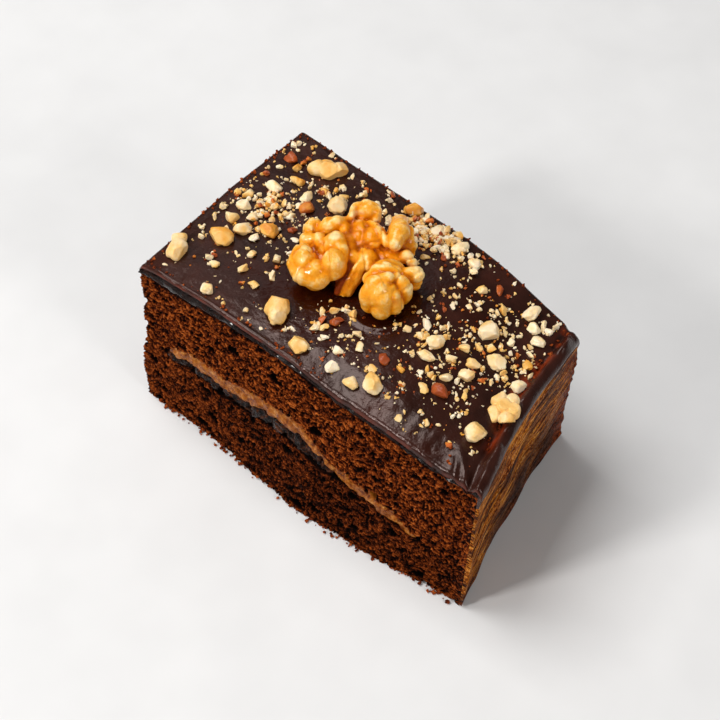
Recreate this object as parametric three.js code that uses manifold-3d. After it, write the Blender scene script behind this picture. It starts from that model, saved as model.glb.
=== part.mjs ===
// A hand-cut block of filled chocolate sponge under a poured dark glaze, topped with
// chopped nuts and one honey-glazed walnut half.
//
// Millimetres, +Z up. The long cut face looks along -Y and the glazed outer end along +X.
// The origin is on the ground, under the middle of the whole.

import * as THREE from 'three';
import { mergeVertices } from 'three/addons/utils/BufferGeometryUtils.js';
import Module from 'manifold-3d';

const wasm = await Module();
wasm.setup();

// Driving dimensions of the block. Each corner is [x, y], seen from above.
const BLOCK_TOP = 44.7;
const TOP_CORNERS = {
  leftFront: [-46.2, -24.7], leftBack: [-45.7, 29.9], rightFront: [47.5, -25.9], rightBack: [39.1, 21.3],
};
const FOOT_CORNERS = {
  leftFront: [-47.3, -26.2], leftBack: [-46.5, 30.7], rightFront: [46.1, -27.9], rightBack: [35.9, 23.7],
};
const END_BOW = 1.2;
const BACK_BOW = 0.9;
const FOOT_BULGE = { out: 3.6, middle: 0.57, width: 0.28 };
const TOP_FALL = { front: 3.2, back: 5.0, from: 0.62 };
const DOME = 0.9;

// Driving dimensions of the layers
const GAP = 0.3;
const END_COAT = 1.9;
const GLAZE_DEPTH = 3.6;
const GLAZE_DEPTH_SWING = 0.7;
const LEFT_ROUND = { drop: 1.5, reach: 0.05 };
const FRONT_ROUND = { drop: 0.6, reach: 0.06 };
const LIP = { rise: 0.9, middle: 0.975, width: 0.018 };
const GROOVE = { drop: 0.7, middle: 0.935, width: 0.02 };
const SURFACE_ROUND = 1.0;
const FOOT_CLEARANCE = 0.5;
const CRAG = { out: 0.85, grain: 5, inward: 0.45 };

// Spans of the two fillings, as shares of the block's length
const CARAMEL_SPAN = [0.085, 0.86];
const DARK_SPAN = [0.075, 0.62];
const FILLING_TAPER = 0.06;
const FILLING_END_DEPTH = 0.8;
const FILLING_LINE = { height: 20.6, hump: 2.6, crest: 0.46, humpWidth: 0.13, fall: 7.2, fallEnd: 0.92, dip: 1.2 };
const CARAMEL_DEPTH = { left: 3.1, right: 1.7 };
const DARK_DEPTH = { mean: 2.9, swing: 0.5 };
const FILLING_RECESS = 0.35;

// Grid steps of the layers
const STEPS_LONG = 26;
const STEPS_WIDE = 12;
const GLAZE_STEPS_WIDE = 14;
const FILLING_STEPS_WIDE = 8;
const SPONGE_ROWS = 4;
const COAT_ROWS = 9;

const mix = (a, b, t) => a + (b - a) * t;
const clamp01 = (t) => Math.min(1, Math.max(0, t));

function smooth(from, to, t) {
  const s = clamp01((t - from) / (to - from));
  return s * s * (3 - 2 * s);
}

function bell(t, middle, width) {
  const s = (t - middle) / width;
  return Math.exp(-s * s);
}

// Seeded draws, so that every run scatters the same pieces.
function seededDraw(seed) {
  let state = seed >>> 0;
  return () => {
    state = (state + 0x6D2B79F5) >>> 0;
    let bits = Math.imul(state ^ (state >>> 15), state | 1);
    bits ^= bits + Math.imul(bits ^ (bits >>> 7), bits | 61);
    return ((bits ^ (bits >>> 14)) >>> 0) / 4294967296;
  };
}

// Smooth uneven relief, from -1 to 1, out of a few waves that don't line up.
function relief(x, y, z, grain) {
  const a = x / grain;
  const b = y / grain;
  const c = z / grain;
  const first = Math.sin(2.1 * a + 1.3 * Math.sin(1.7 * b + 0.9) + 2.3 * c);
  const second = Math.sin(2.9 * b - 1.9 * c + 1.1 * Math.sin(1.3 * a + 2.0));
  const third = Math.sin(3.7 * c + 1.5 * a - 2.2 * b + 0.7);
  return (first + second + third) / 3;
}

// The block's plan: share u runs from the left cut face to the glazed end, share v from
// the front cut face to the back, and share w from the ground to the top.
function plan(u, v, w) {
  const corner = (name, axis) => mix(FOOT_CORNERS[name][axis], TOP_CORNERS[name][axis], w);
  const leftX = mix(corner('leftFront', 0), corner('leftBack', 0), v);
  const leftY = mix(corner('leftFront', 1), corner('leftBack', 1), v);
  const rightX = mix(corner('rightFront', 0), corner('rightBack', 0), v) - END_BOW * 4 * v * (1 - v);
  const rightY = mix(corner('rightFront', 1), corner('rightBack', 1), v);
  const bulge = FOOT_BULGE.out * bell(u, FOOT_BULGE.middle, FOOT_BULGE.width) * (1 - w) * (1 - v) * (1 - v);
  const bow = BACK_BOW * v * v * 4 * u * (1 - u);
  return [mix(leftX, rightX, u), mix(leftY, rightY, u) - bulge + bow];
}

// Height of the top without its fine shape: level from cut to cut, falling to the end.
function topHeight(u, v) {
  const fall = mix(TOP_FALL.front, TOP_FALL.back, v) * smooth(TOP_FALL.from, 1.0, u);
  const dome = DOME * 16 * v * (1 - v) * u * (1 - u);
  const waves = 0.25 * Math.sin(7 * u + 3 * v) + 0.2 * Math.sin(11 * v - 4 * u + 1);
  return BLOCK_TOP - GAP + dome - fall + waves;
}

function glazeDepth(u, v) {
  const swing = Math.sin(9 * u + 1.2 + v) + 0.35 * Math.sin(5 * v + 14 * u);
  return GLAZE_DEPTH + GLAZE_DEPTH_SWING * swing;
}

const glazeUnderside = (u, v) => topHeight(u, v) - glazeDepth(u, v);

// The poured surface: rounded down at the cut edges, with a rolled lip and a groove
// inside it along the glazed end.
function glazeSurface(u, v) {
  const leftRound = LEFT_ROUND.drop * (1 - smooth(0, LEFT_ROUND.reach, u));
  const frontRound = FRONT_ROUND.drop * (1 - smooth(0, FRONT_ROUND.reach, v));
  const lip = LIP.rise * bell(u, LIP.middle, LIP.width);
  const groove = GROOVE.drop * bell(u, GROOVE.middle, GROOVE.width);
  return topHeight(u, v) - leftRound - frontRound + lip - groove;
}

// The middle of the filling line, seen on the cut face: it rises to a hump left of the
// middle and falls away to the right.
function fillingLine(u, v) {
  const hump = FILLING_LINE.hump * bell(u, FILLING_LINE.crest, FILLING_LINE.humpWidth);
  const fall = FILLING_LINE.fall * smooth(FILLING_LINE.crest, FILLING_LINE.fallEnd, u);
  const leftDip = FILLING_LINE.dip * (1 - smooth(0.05, 0.2, u));
  return FILLING_LINE.height + hump - fall - leftDip + 0.5 * Math.sin(6 * u + 2.5 * v) * v;
}

function fillingShare(u, span) {
  return smooth(span[0] - FILLING_TAPER, span[0] + FILLING_TAPER, u)
    * (1 - smooth(span[1] - FILLING_TAPER, span[1] + FILLING_TAPER, u));
}

const caramelDepth = (u) => mix(CARAMEL_DEPTH.left, CARAMEL_DEPTH.right, smooth(0.5, 0.66, u));
const darkDepth = (u) => DARK_DEPTH.mean - DARK_DEPTH.swing * Math.sin(10 * u);

// How deep the room for a filling is. Past the filling's ends it closes to nothing.
function room(u, span, depth) {
  const inside = u > span[0] && u < span[1];
  const share = fillingShare(u, span);
  const full = Math.max(depth(u) * share, inside ? FILLING_END_DEPTH : 0);
  const margin = bell(Math.max(0, span[0] - u, u - span[1]), 0, FILLING_TAPER / 2);
  return inside ? full + GAP : (FILLING_END_DEPTH + GAP) * margin;
}

const lowerSpongeTop = (u, v) => fillingLine(u, v) - room(u, DARK_SPAN, darkDepth);
const upperSpongeFloor = (u, v) => fillingLine(u, v) + GAP + room(u, CARAMEL_SPAN, caramelDepth);

// Shares along the block, a little closer together toward the glazed end
const alongShare = (t) => 1 - Math.pow(1 - t, 1.2);

// Closed solids out of a box whose grid is laid on the block's own shares.
function gridSolid(long, wide, rows, place) {
  const box = new THREE.BoxGeometry(1, 1, 1, long, wide, rows);
  box.deleteAttribute('normal');
  box.deleteAttribute('uv');
  const merged = mergeVertices(box, 1e-4);
  const spots = merged.attributes.position;
  for (let i = 0; i < spots.count; i += 1) {
    const [x, y, z] = place(spots.getX(i) + 0.5, spots.getY(i) + 0.5, spots.getZ(i) + 0.5);
    spots.setXYZ(i, x, y, z);
  }
  return merged;
}

function toSolid(geometry) {
  const mesh = new wasm.Mesh({
    numProp: 3,
    vertProperties: new Float32Array(geometry.attributes.position.array),
    triVerts: new Uint32Array(geometry.index.array),
  });
  return new wasm.Manifold(mesh);
}

function toGeometry(solid) {
  const mesh = solid.getMesh();
  const geometry = new THREE.BufferGeometry();
  geometry.setAttribute('position', new THREE.Float32BufferAttribute(mesh.vertProperties, 3));
  geometry.setIndex(new THREE.Uint32BufferAttribute(mesh.triVerts, 1));
  return geometry;
}

// The crumb at a cut face stands out and in. The end under the coat is smooth.
function cragged(x, y, z, u, v) {
  const onFront = v < 0.001 ? -1 : 0;
  const onBack = v > 0.999 ? 1 : 0;
  const onLeft = u < 0.001 ? -1 : 0;
  const calm = 1 - 0.8 * smooth(0.93, 1, u);
  const push = CRAG.out * calm * (relief(x, y, z, CRAG.grain) - CRAG.inward);
  return [x + onLeft * push, y + (onFront + onBack) * push];
}

function spongeSolid(floorAt, topAt) {
  return gridSolid(STEPS_LONG, STEPS_WIDE, SPONGE_ROWS, (t, v, row) => {
    const u = alongShare(t);
    const z = mix(floorAt(u, v), topAt(u, v), row);
    const [planX, planY] = plan(u, v, z / BLOCK_TOP);
    const x = planX - (END_COAT + GAP) * u;
    const [cragX, cragY] = z > 0 ? cragged(x, planY, z, u, v) : [x, planY];
    return [cragX, cragY, z];
  });
}

// A filling runs through from the front cut face to the back one, and ends inside both ends.
function fillingSolid(span, floorAt, topAt, steps) {
  return gridSolid(steps, FILLING_STEPS_WIDE, 2, (t, v, row) => {
    const u = mix(span[0], span[1], t);
    const z = mix(floorAt(u, v), topAt(u, v), row);
    const [planX, planY] = plan(u, v, z / BLOCK_TOP);
    const x = planX - (END_COAT + GAP) * u;
    const edge = v < 0.001 ? 1 : v > 0.999 ? -1 : 0;
    const swell = row > 0.4 && row < 0.6 ? 0.4 * relief(x, 0, z, 4) : -0.15;
    return [x, planY + edge * (FILLING_RECESS - swell), z];
  });
}

function glazeSlab() {
  const rows = 3;
  return gridSolid(STEPS_LONG, GLAZE_STEPS_WIDE, rows, (t, v, row) => {
    const u = alongShare(t);
    const underside = glazeUnderside(u, v) + GAP;
    const rise = [0, 0.45, 0.85, 1][Math.round(row * rows)];
    const inset = [0, 0, 0.25, 1][Math.round(row * rows)] * SURFACE_ROUND;
    const z = mix(underside, glazeSurface(u, v), rise);
    const [x, y] = plan(u, v, z / BLOCK_TOP);
    const inwardX = u < 0.001 ? inset : u > 0.999 ? -inset : 0;
    const inwardY = v < 0.001 ? inset : v > 0.999 ? -inset : 0;
    return [x + inwardX, y + inwardY, z];
  });
}

// The thin coat that ran down over the outer end, stopping just clear of the ground.
function endCoat() {
  return gridSolid(1, STEPS_WIDE, COAT_ROWS, (depth, v, row) => {
    const z = mix(FOOT_CLEARANCE, glazeUnderside(1, v) + 1.2, row);
    const [x, y] = plan(1, v, z / BLOCK_TOP);
    const drag = depth > 0.5 ? 0.25 * relief(0, y, 3 * z, 9) - 0.1 : 0;
    return [x - END_COAT * (1 - depth) + drag, y, z];
  });
}

const BEYOND_EDGE = 6;

// Everything under a surface a gap above the glaze, used to seat the toppings on it.
function underToppings() {
  return toSolid(gridSolid(STEPS_LONG, GLAZE_STEPS_WIDE, 1, (t, v, row) => {
    const u = alongShare(t);
    const z = row < 0.5 ? 0 : glazeSurface(u, v) + GAP;
    const [x, y] = plan(u, v, 1);
    const outX = u < 0.001 ? -BEYOND_EDGE : u > 0.999 ? BEYOND_EDGE : 0;
    const outY = v < 0.001 ? -BEYOND_EDGE : v > 0.999 ? BEYOND_EDGE : 0;
    return [x + outX, y + outY, z];
  }));
}

// Shares of a spot seen from above, found by a few steps of correction.
function sharesAt(x, y) {
  let u = 0.5;
  let v = 0.5;
  for (let step = 0; step < 12; step += 1) {
    const [planX, planY] = plan(u, v, 1);
    u += (x - planX) / 90;
    v += (y - planY) / 52;
  }
  return [u, v];
}

function surfaceAt(x, y) {
  const [u, v] = sharesAt(x, y);
  return glazeSurface(clamp01(u), clamp01(v));
}

// A chopped nut: a small faceted lump with uneven corners, turned and half sunk.
function nutLump(x, y, length, width, turn, draw, detail = 0, sink = 0.2) {
  const lump = new THREE.IcosahedronGeometry(1, detail);
  lump.deleteAttribute('normal');
  lump.deleteAttribute('uv');
  const merged = mergeVertices(lump, 1e-4);
  const spots = merged.attributes.position;
  const tall = 0.62 * Math.min(length, width) / 2;
  for (let i = 0; i < spots.count; i += 1) {
    const reach = 0.82 + 0.36 * draw();
    spots.setXYZ(i, spots.getX(i) * reach * length / 2, spots.getY(i) * reach * width / 2,
      spots.getZ(i) * reach * tall);
  }
  merged.rotateZ(turn);
  merged.translate(x, y, surfaceAt(x, y) + tall * (1 - 2 * sink));
  return merged;
}

// Chopped nuts in their places: [x, y, length, width, turn in degrees]
const PLACED_NUTS = [
  [37.5, -15.7, 5.6, 5.0, 20], [15.1, -20.4, 5.3, 4.3, -40], [24.6, 7.0, 5.1, 4.7, 60],
  [30.3, 1.8, 5.0, 3.6, -15], [-3.5, -21.8, 4.8, 4.2, 40], [-22.2, 14.2, 4.9, 4.7, 0],
  [-27.4, 9.3, 3.7, 3.3, 30], [-42.8, -10.9, 5.2, 3.4, 30], [-36.4, -8.8, 5.9, 4.9, 10],
  [-34.3, -4.2, 4.2, 3.6, 50], [-29.5, -0.7, 5.0, 3.6, 5], [-28.8, -22.2, 3.4, 3.2, 0],
  [18.3, -3.3, 4.0, 3.5, 70], [28.1, -5.6, 3.7, 3.2, 45], [18.7, -7.5, 4.4, 2.6, 10],
  [6.5, 21.0, 4.7, 3.5, 80], [-0.4, 22.1, 4.0, 3.6, 20], [-8.8, 24.9, 4.6, 3.8, 35],
  [26.4, -12.6, 4.5, 3.0, -10], [-37.5, 10.1, 4.2, 3.4, 0], [-39.0, 1.6, 3.6, 3.1, 30],
  [28.0, 18.0, 4.5, 3.5, 65], [30.5, 15.3, 3.6, 2.8, 0], [33.2, 12.8, 3.6, 2.7, 10],
  [37.1, 0.3, 3.4, 3.0, 50],
];

// Where the loose scatter lies thick, as [x, y, width, weight]
const DRIFTS = [[-1.5, 22, 7, 3.2], [-33.5, 3, 9, 1.6], [-29.5, 15, 6, 1.2], [27.5, 4, 13, 1.3], [1.5, -15, 8, 0.9],
  [23.5, -9, 7, 1.0]];
const SCATTER_FLOOR = 0.22;
const SCATTER_PEAK = 3.6;
const SCATTER_PIECES = 44;
const SCATTER_SEED = 20;

function driftAt(x, y) {
  return DRIFTS.reduce((sum, [driftX, driftY, width, weight]) =>
    sum + weight * bell(Math.hypot(x - driftX, y - driftY), 0, width), SCATTER_FLOOR);
}

// The walnut half, inner side up, as lobes in its own frame: across to the right,
// away from the viewer and up from the glaze, then the three radii.
const WALNUT_PLACE = [-8.9, 4.2];
const WALNUT_TURN = THREE.MathUtils.degToRad(38.6);
const WALNUT_LOBES = [
  [-11.1, -5.0, 5.6, 3.6, 4.3, 5.2],
  [-8.9, -7.8, 5.0, 4.1, 3.7, 4.9],
  [-4.8, -6.6, 7.0, 3.7, 4.4, 4.6],
  [-4.6, -1.8, 8.2, 3.2, 3.9, 3.4],
  [-10.8, 1.2, 4.6, 2.3, 2.1, 2.4],
  [-9.2, 4.6, 4.8, 3.2, 2.5, 3.6],
  [-5.6, 4.0, 6.6, 4.0, 2.6, 3.8],
  [-2.4, 3.2, 6.6, 2.4, 3.1, 3.2],
  [1.7, 7.8, 5.8, 3.4, 3.2, 4.6],
  [8.8, 2.8, 6.0, 3.1, 3.6, 5.0],
  [8.0, -0.6, 6.8, 2.7, 2.9, 3.6],
  [11.0, -0.2, 4.4, 2.1, 2.1, 2.7],
  [2.2, 0.2, 5.8, 4.4, 4.8, 3.4],
  [0.8, -4.4, 4.8, 4.0, 4.4, 3.2],
  [6.6, -3.2, 4.6, 4.6, 3.3, 3.3],
  [5.0, -13.4, 5.5, 4.4, 5.0, 5.5],
  [9.6, -12.0, 4.4, 2.8, 3.0, 4.1],
  [11.8, -8.4, 4.4, 3.0, 2.6, 3.7],
  [6.6, -8.0, 6.2, 4.6, 3.3, 3.9],
];
const WALNUT_BLADE = { place: [-1.5, -9.4, 3.8], radii: [1.2, 3.9, 4.2], turn: -0.25 };

function lobe(place, radii, turn, detail) {
  const ball = new THREE.IcosahedronGeometry(1, detail);
  ball.deleteAttribute('normal');
  ball.deleteAttribute('uv');
  const merged = mergeVertices(ball, 1e-4);
  merged.scale(radii[0], radii[1], radii[2]);
  merged.rotateZ(turn);
  merged.translate(place[0], place[1], place[2]);
  return merged;
}

function walnutSolid() {
  const lobes = WALNUT_LOBES.map(([across, away, up, ...radii]) => lobe([across, away, up], radii, 0, 1));
  lobes.push(lobe(WALNUT_BLADE.place, WALNUT_BLADE.radii, WALNUT_BLADE.turn, 1));
  const ground = surfaceAt(WALNUT_PLACE[0], WALNUT_PLACE[1]);
  const whole = lobes.map((piece) => {
    piece.rotateZ(WALNUT_TURN);
    piece.translate(WALNUT_PLACE[0], WALNUT_PLACE[1], ground);
    return toSolid(piece);
  }).reduce((sum, piece) => sum.add(piece));
  return whole.subtract(underToppings());
}

// The four largest chopped pieces: [name, x, y, length, width, turn in degrees]
const LARGE_NUTS = [
  ['nut_piece_back', -31.7, 22.2, 9.4, 6.0, 30],
  ['nut_piece_left', -42.1, -16.6, 8.6, 4.8, 122],
  ['nut_piece_front', -12.8, -17.9, 7.6, 6.0, -60],
  ['nut_piece_right', 38.7, -7.2, 9.0, 7.0, 120],
];

function largeNut(x, y, length, width, turn, draw) {
  const piece = nutLump(x, y, length, width, THREE.MathUtils.degToRad(turn), draw, 1, 0.12);
  return toSolid(piece).subtract(underToppings());
}

// The fused scatter keeps clear of the walnut, of the large pieces and of each other.
function keptClear(x, y, reach, taken) {
  return taken.every(([otherX, otherY, otherReach]) =>
    Math.hypot(x - otherX, y - otherY) > reach + otherReach + 0.4);
}

function walnutCover() {
  const cos = Math.cos(WALNUT_TURN);
  const sin = Math.sin(WALNUT_TURN);
  return WALNUT_LOBES.map(([across, away, , wide, deep]) => [
    WALNUT_PLACE[0] + across * cos - away * sin,
    WALNUT_PLACE[1] + across * sin + away * cos,
    Math.max(wide, deep),
  ]);
}

function fusedNuts() {
  const draw = seededDraw(SCATTER_SEED);
  const taken = walnutCover();
  LARGE_NUTS.forEach(([, x, y, length, width]) => taken.push([x, y, (length + width) / 4 + 0.8]));
  const nuts = [];
  PLACED_NUTS.forEach(([x, y, length, width, turn]) => {
    if (!keptClear(x, y, width / 2, taken)) return;
    taken.push([x, y, (length + width) / 4 - 0.4]);
    nuts.push(nutLump(x, y, length, width, THREE.MathUtils.degToRad(turn), draw));
  });
  let tries = 0;
  let kept = 0;
  while (kept < SCATTER_PIECES && tries < 6000) {
    tries += 1;
    const u = mix(0.04, 0.9, draw());
    const v = mix(0.06, 0.94, draw());
    const chance = draw() * SCATTER_PEAK;
    const length = mix(3.6, 2.0, kept / SCATTER_PIECES);
    const width = length * mix(0.6, 0.95, draw());
    const turn = draw() * Math.PI;
    const [x, y] = plan(u, v, 1);
    if (chance > driftAt(x, y) || !keptClear(x, y, length / 2, taken)) continue;
    taken.push([x, y, length / 2]);
    nuts.push(nutLump(x, y, length, width, turn, draw));
    kept += 1;
  }
  return nuts;
}

function glazeSolid() {
  const coated = toSolid(glazeSlab()).add(toSolid(endCoat()));
  return fusedNuts().reduce((sum, nut) => sum.add(toSolid(nut)), coated);
}

const look = (color, roughness) => new THREE.MeshStandardMaterial({ color, roughness, metalness: 0 });
const LOOKS = {
  sponge: look(0x4a2113, 0.95),
  caramel: look(0x8a4f24, 0.6),
  dark: look(0x1c0e0a, 0.35),
  glaze: look(0x37231f, 0.3),
  walnut: look(0xd98a24, 0.3),
  nut: look(0xe8c888, 0.6),
};

const brownie = new THREE.Group();
brownie.name = 'brownie';

function addPiece(name, geometry, material) {
  const piece = new THREE.Mesh(geometry, material);
  piece.name = name;
  brownie.add(piece);
}

addPiece('sponge_lower', spongeSolid(() => 0, lowerSpongeTop), LOOKS.sponge);
addPiece('filling_dark', fillingSolid(DARK_SPAN, (u, v) => lowerSpongeTop(u, v) + GAP,
  fillingLine, 12), LOOKS.dark);
addPiece('filling_caramel', fillingSolid(CARAMEL_SPAN, (u, v) => fillingLine(u, v) + GAP,
  (u, v) => upperSpongeFloor(u, v) - GAP, 16), LOOKS.caramel);
addPiece('sponge_upper', spongeSolid(upperSpongeFloor, glazeUnderside), LOOKS.sponge);
addPiece('glaze', toGeometry(glazeSolid()), LOOKS.glaze);
addPiece('walnut', toGeometry(walnutSolid()), LOOKS.walnut);
const largeDraw = seededDraw(SCATTER_SEED + 1);
LARGE_NUTS.forEach(([name, x, y, length, width, turn]) => {
  addPiece(name, toGeometry(largeNut(x, y, length, width, turn, largeDraw)), LOOKS.nut);
});

export default brownie;
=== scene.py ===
import math

import bmesh
import bpy
import numpy as np
from mathutils import Matrix, Vector


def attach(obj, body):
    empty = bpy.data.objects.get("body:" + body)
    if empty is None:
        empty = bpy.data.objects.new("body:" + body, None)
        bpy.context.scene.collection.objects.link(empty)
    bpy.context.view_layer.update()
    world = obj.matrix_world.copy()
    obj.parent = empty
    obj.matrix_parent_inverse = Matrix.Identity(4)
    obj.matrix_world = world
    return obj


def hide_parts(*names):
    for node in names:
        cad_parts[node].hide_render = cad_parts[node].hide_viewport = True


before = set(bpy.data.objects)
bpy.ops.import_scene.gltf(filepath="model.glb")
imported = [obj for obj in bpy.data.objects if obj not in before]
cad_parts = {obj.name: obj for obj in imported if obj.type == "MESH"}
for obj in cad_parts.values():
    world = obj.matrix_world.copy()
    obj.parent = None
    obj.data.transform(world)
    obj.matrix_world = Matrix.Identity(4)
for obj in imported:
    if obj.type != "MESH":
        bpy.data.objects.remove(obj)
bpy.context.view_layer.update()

MM = 0.001

# Camera, at the viewing angle of the picture, in millimetres and degrees
CAMERA_PLACE = (158.42, -204.26, 330.43)
CAMERA_AZIMUTH = 38.6
CAMERA_ELEVATION = 50.0
CAMERA_LENS = 90.0

# Driving dimensions of the block, as its solids have them, in millimetres
BLOCK_TOP = 44.7
TOP_CORNERS = {
    "left_front": (-46.2, -24.7), "left_back": (-45.7, 29.9),
    "right_front": (47.5, -25.9), "right_back": (39.1, 21.3),
}
FOOT_CORNERS = {
    "left_front": (-47.3, -26.2), "left_back": (-46.5, 30.7),
    "right_front": (46.1, -27.9), "right_back": (35.9, 23.7),
}
END_BOW = 1.2
BACK_BOW = 0.9
FOOT_BULGE = 3.6
GAP = 0.3
GLAZE_DEPTH = 3.6
GLAZE_DEPTH_SWING = 0.7
CARAMEL_SPAN = (0.085, 0.86)
DARK_SPAN = (0.075, 0.62)
FILLING_TAPER = 0.06
FILLING_END_DEPTH = 0.8


def mix(a, b, t):
    return a + (b - a) * t


def smooth(start, end, t):
    s = np.clip((t - start) / (end - start), 0.0, 1.0)
    return s * s * (3 - 2 * s)


def bell(t, middle, width):
    s = (t - middle) / width
    return np.exp(-s * s)


def plan(u, v, w):
    """Place seen from above: u runs along the block, v from front to back, w from ground to top."""
    def corner(name, axis):
        return mix(FOOT_CORNERS[name][axis], TOP_CORNERS[name][axis], w)
    left_x = mix(corner("left_front", 0), corner("left_back", 0), v)
    left_y = mix(corner("left_front", 1), corner("left_back", 1), v)
    right_x = mix(corner("right_front", 0), corner("right_back", 0), v) - END_BOW * 4 * v * (1 - v)
    right_y = mix(corner("right_front", 1), corner("right_back", 1), v)
    bulge = FOOT_BULGE * bell(u, 0.57, 0.28) * (1 - w) * (1 - v) * (1 - v)
    bow = BACK_BOW * v * v * 4 * u * (1 - u)
    return mix(left_x, right_x, u), mix(left_y, right_y, u) - bulge + bow


def top_height(u, v):
    fall = mix(3.2, 5.0, v) * smooth(0.62, 1.0, u)
    dome = 0.9 * 16 * v * (1 - v) * u * (1 - u)
    waves = 0.25 * np.sin(7 * u + 3 * v) + 0.2 * np.sin(11 * v - 4 * u + 1)
    return BLOCK_TOP - GAP + dome - fall + waves


def glaze_depth(u, v):
    swing = np.sin(9 * u + 1.2 + v) + 0.35 * np.sin(5 * v + 14 * u)
    return GLAZE_DEPTH + GLAZE_DEPTH_SWING * swing


def glaze_underside(u, v):
    return top_height(u, v) - glaze_depth(u, v)


def filling_line(u, v):
    hump = 2.6 * bell(u, 0.46, 0.13)
    fall = 7.2 * smooth(0.46, 0.92, u)
    dip = 1.2 * (1 - smooth(0.05, 0.2, u))
    return 20.6 + hump - fall - dip + 0.5 * np.sin(6 * u + 2.5 * v) * v


def filling_share(u, span):
    start = smooth(span[0] - FILLING_TAPER, span[0] + FILLING_TAPER, u)
    end = smooth(span[1] - FILLING_TAPER, span[1] + FILLING_TAPER, u)
    return start * (1 - end)


def caramel_depth(u):
    return mix(3.1, 1.7, smooth(0.5, 0.66, u))


def dark_depth(u):
    return 2.9 - 0.5 * np.sin(10 * u)


def room(u, span, depth):
    """How deep the room for a filling is, closing to nothing past its ends."""
    inside = (u > span[0]) & (u < span[1])
    full = np.maximum(depth(u) * filling_share(u, span), FILLING_END_DEPTH)
    past = np.maximum(0, np.maximum(span[0] - u, u - span[1]))
    margin = (FILLING_END_DEPTH + GAP) * bell(past, 0, FILLING_TAPER / 2)
    return np.where(inside, full + GAP, margin)


def lower_sponge_top(u, v):
    return filling_line(u, v) - room(u, DARK_SPAN, dark_depth)


def upper_sponge_floor(u, v):
    return filling_line(u, v) + GAP + room(u, CARAMEL_SPAN, caramel_depth)


# Seeded unevenness, worked out from a hashed lattice

def lattice(ix, iy, iz, seed):
    mask = np.uint32(0xFFFFFFFF)
    h = ix.astype(np.int64) * 374761393 + iy.astype(np.int64) * 668265263
    h = h + iz.astype(np.int64) * 2147483647 + seed * 144665
    h = (h & int(mask)).astype(np.uint32)
    h = (h ^ (h >> np.uint32(13))) * np.uint32(1274126177)
    h = (h ^ (h >> np.uint32(16))) * np.uint32(2246822519)
    h = h ^ (h >> np.uint32(15))
    return h.astype(np.float64) / 4294967295.0


def unevenness(points, grain, seed):
    """Smooth noise from -1 to 1 with features of one grain, in millimetres."""
    scaled = points / grain
    cell = np.floor(scaled).astype(np.int64)
    part = scaled - cell
    part = part * part * (3 - 2 * part)
    total = np.zeros(len(points))
    for dx in (0, 1):
        wx = part[:, 0] if dx else 1 - part[:, 0]
        for dy in (0, 1):
            wy = part[:, 1] if dy else 1 - part[:, 1]
            for dz in (0, 1):
                wz = part[:, 2] if dz else 1 - part[:, 2]
                total += wx * wy * wz * lattice(cell[:, 0] + dx, cell[:, 1] + dy, cell[:, 2] + dz, seed)
    return total * 2 - 1


def pores(points, cell_size, smallest, largest, share, seed):
    """Round hollows of random size, 1 in their middles and 0 outside, one or none to a cell."""
    scaled = points / cell_size
    cell = np.floor(scaled).astype(np.int64)
    deepest = np.zeros(len(points))
    for dx in (-1, 0, 1):
        for dy in (-1, 0, 1):
            for dz in (-1, 0, 1):
                cx = cell[:, 0] + dx
                cy = cell[:, 1] + dy
                cz = cell[:, 2] + dz
                place = np.stack([cx + lattice(cx, cy, cz, seed), cy + lattice(cx, cy, cz, seed + 1),
                                  cz + lattice(cx, cy, cz, seed + 2)], 1)
                there = lattice(cx, cy, cz, seed + 3) < share
                size = lattice(cx, cy, cz, seed + 4)
                radius = mix(smallest, largest, size * size) / cell_size
                gap = np.linalg.norm(scaled - place, axis=1)
                deepest = np.maximum(deepest, np.where(there, 1 - gap / radius, 0))
    return deepest


class Draws:
    """Seeded draws, the same as the ones that scatter the nuts on the solids."""

    def __init__(self, seed):
        self.state = seed & 0xFFFFFFFF

    def next(self):
        self.state = (self.state + 0x6D2B79F5) & 0xFFFFFFFF
        bits = ((self.state ^ (self.state >> 15)) * (self.state | 1)) & 0xFFFFFFFF
        bits ^= (bits + (((bits ^ (bits >> 7)) * (bits | 61)) & 0xFFFFFFFF)) & 0xFFFFFFFF
        return ((bits ^ (bits >> 14)) & 0xFFFFFFFF) / 4294967296.0

    def between(self, low, high):
        return low + (high - low) * self.next()

    def skip(self, count):
        for _ in range(count):
            self.next()


# Meshes

def spots_of(mesh):
    spots = np.empty(len(mesh.vertices) * 3)
    mesh.vertices.foreach_get("co", spots)
    return spots.reshape(-1, 3)


def put_spots(mesh, spots_mm):
    mesh.vertices.foreach_set("co", (spots_mm * MM).ravel())
    mesh.update()


def paint(mesh, name, values):
    """Keeps one number at each vertex, for the material to read."""
    layer = mesh.attributes.new(name, "FLOAT", "POINT")
    layer.data.foreach_set("value", np.clip(values, 0, 1).astype(np.float32))


def add_piece(name, mesh, material, slot, *nodes):
    piece = bpy.data.objects.new(name, mesh)
    bpy.context.scene.collection.objects.link(piece)
    mesh.materials.clear()
    mesh.materials.append(material)
    mesh.polygons.foreach_set("use_smooth", np.ones(len(mesh.polygons), dtype=bool))
    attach(piece, "root")
    if nodes:
        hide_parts(*nodes)
    return piece


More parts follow.
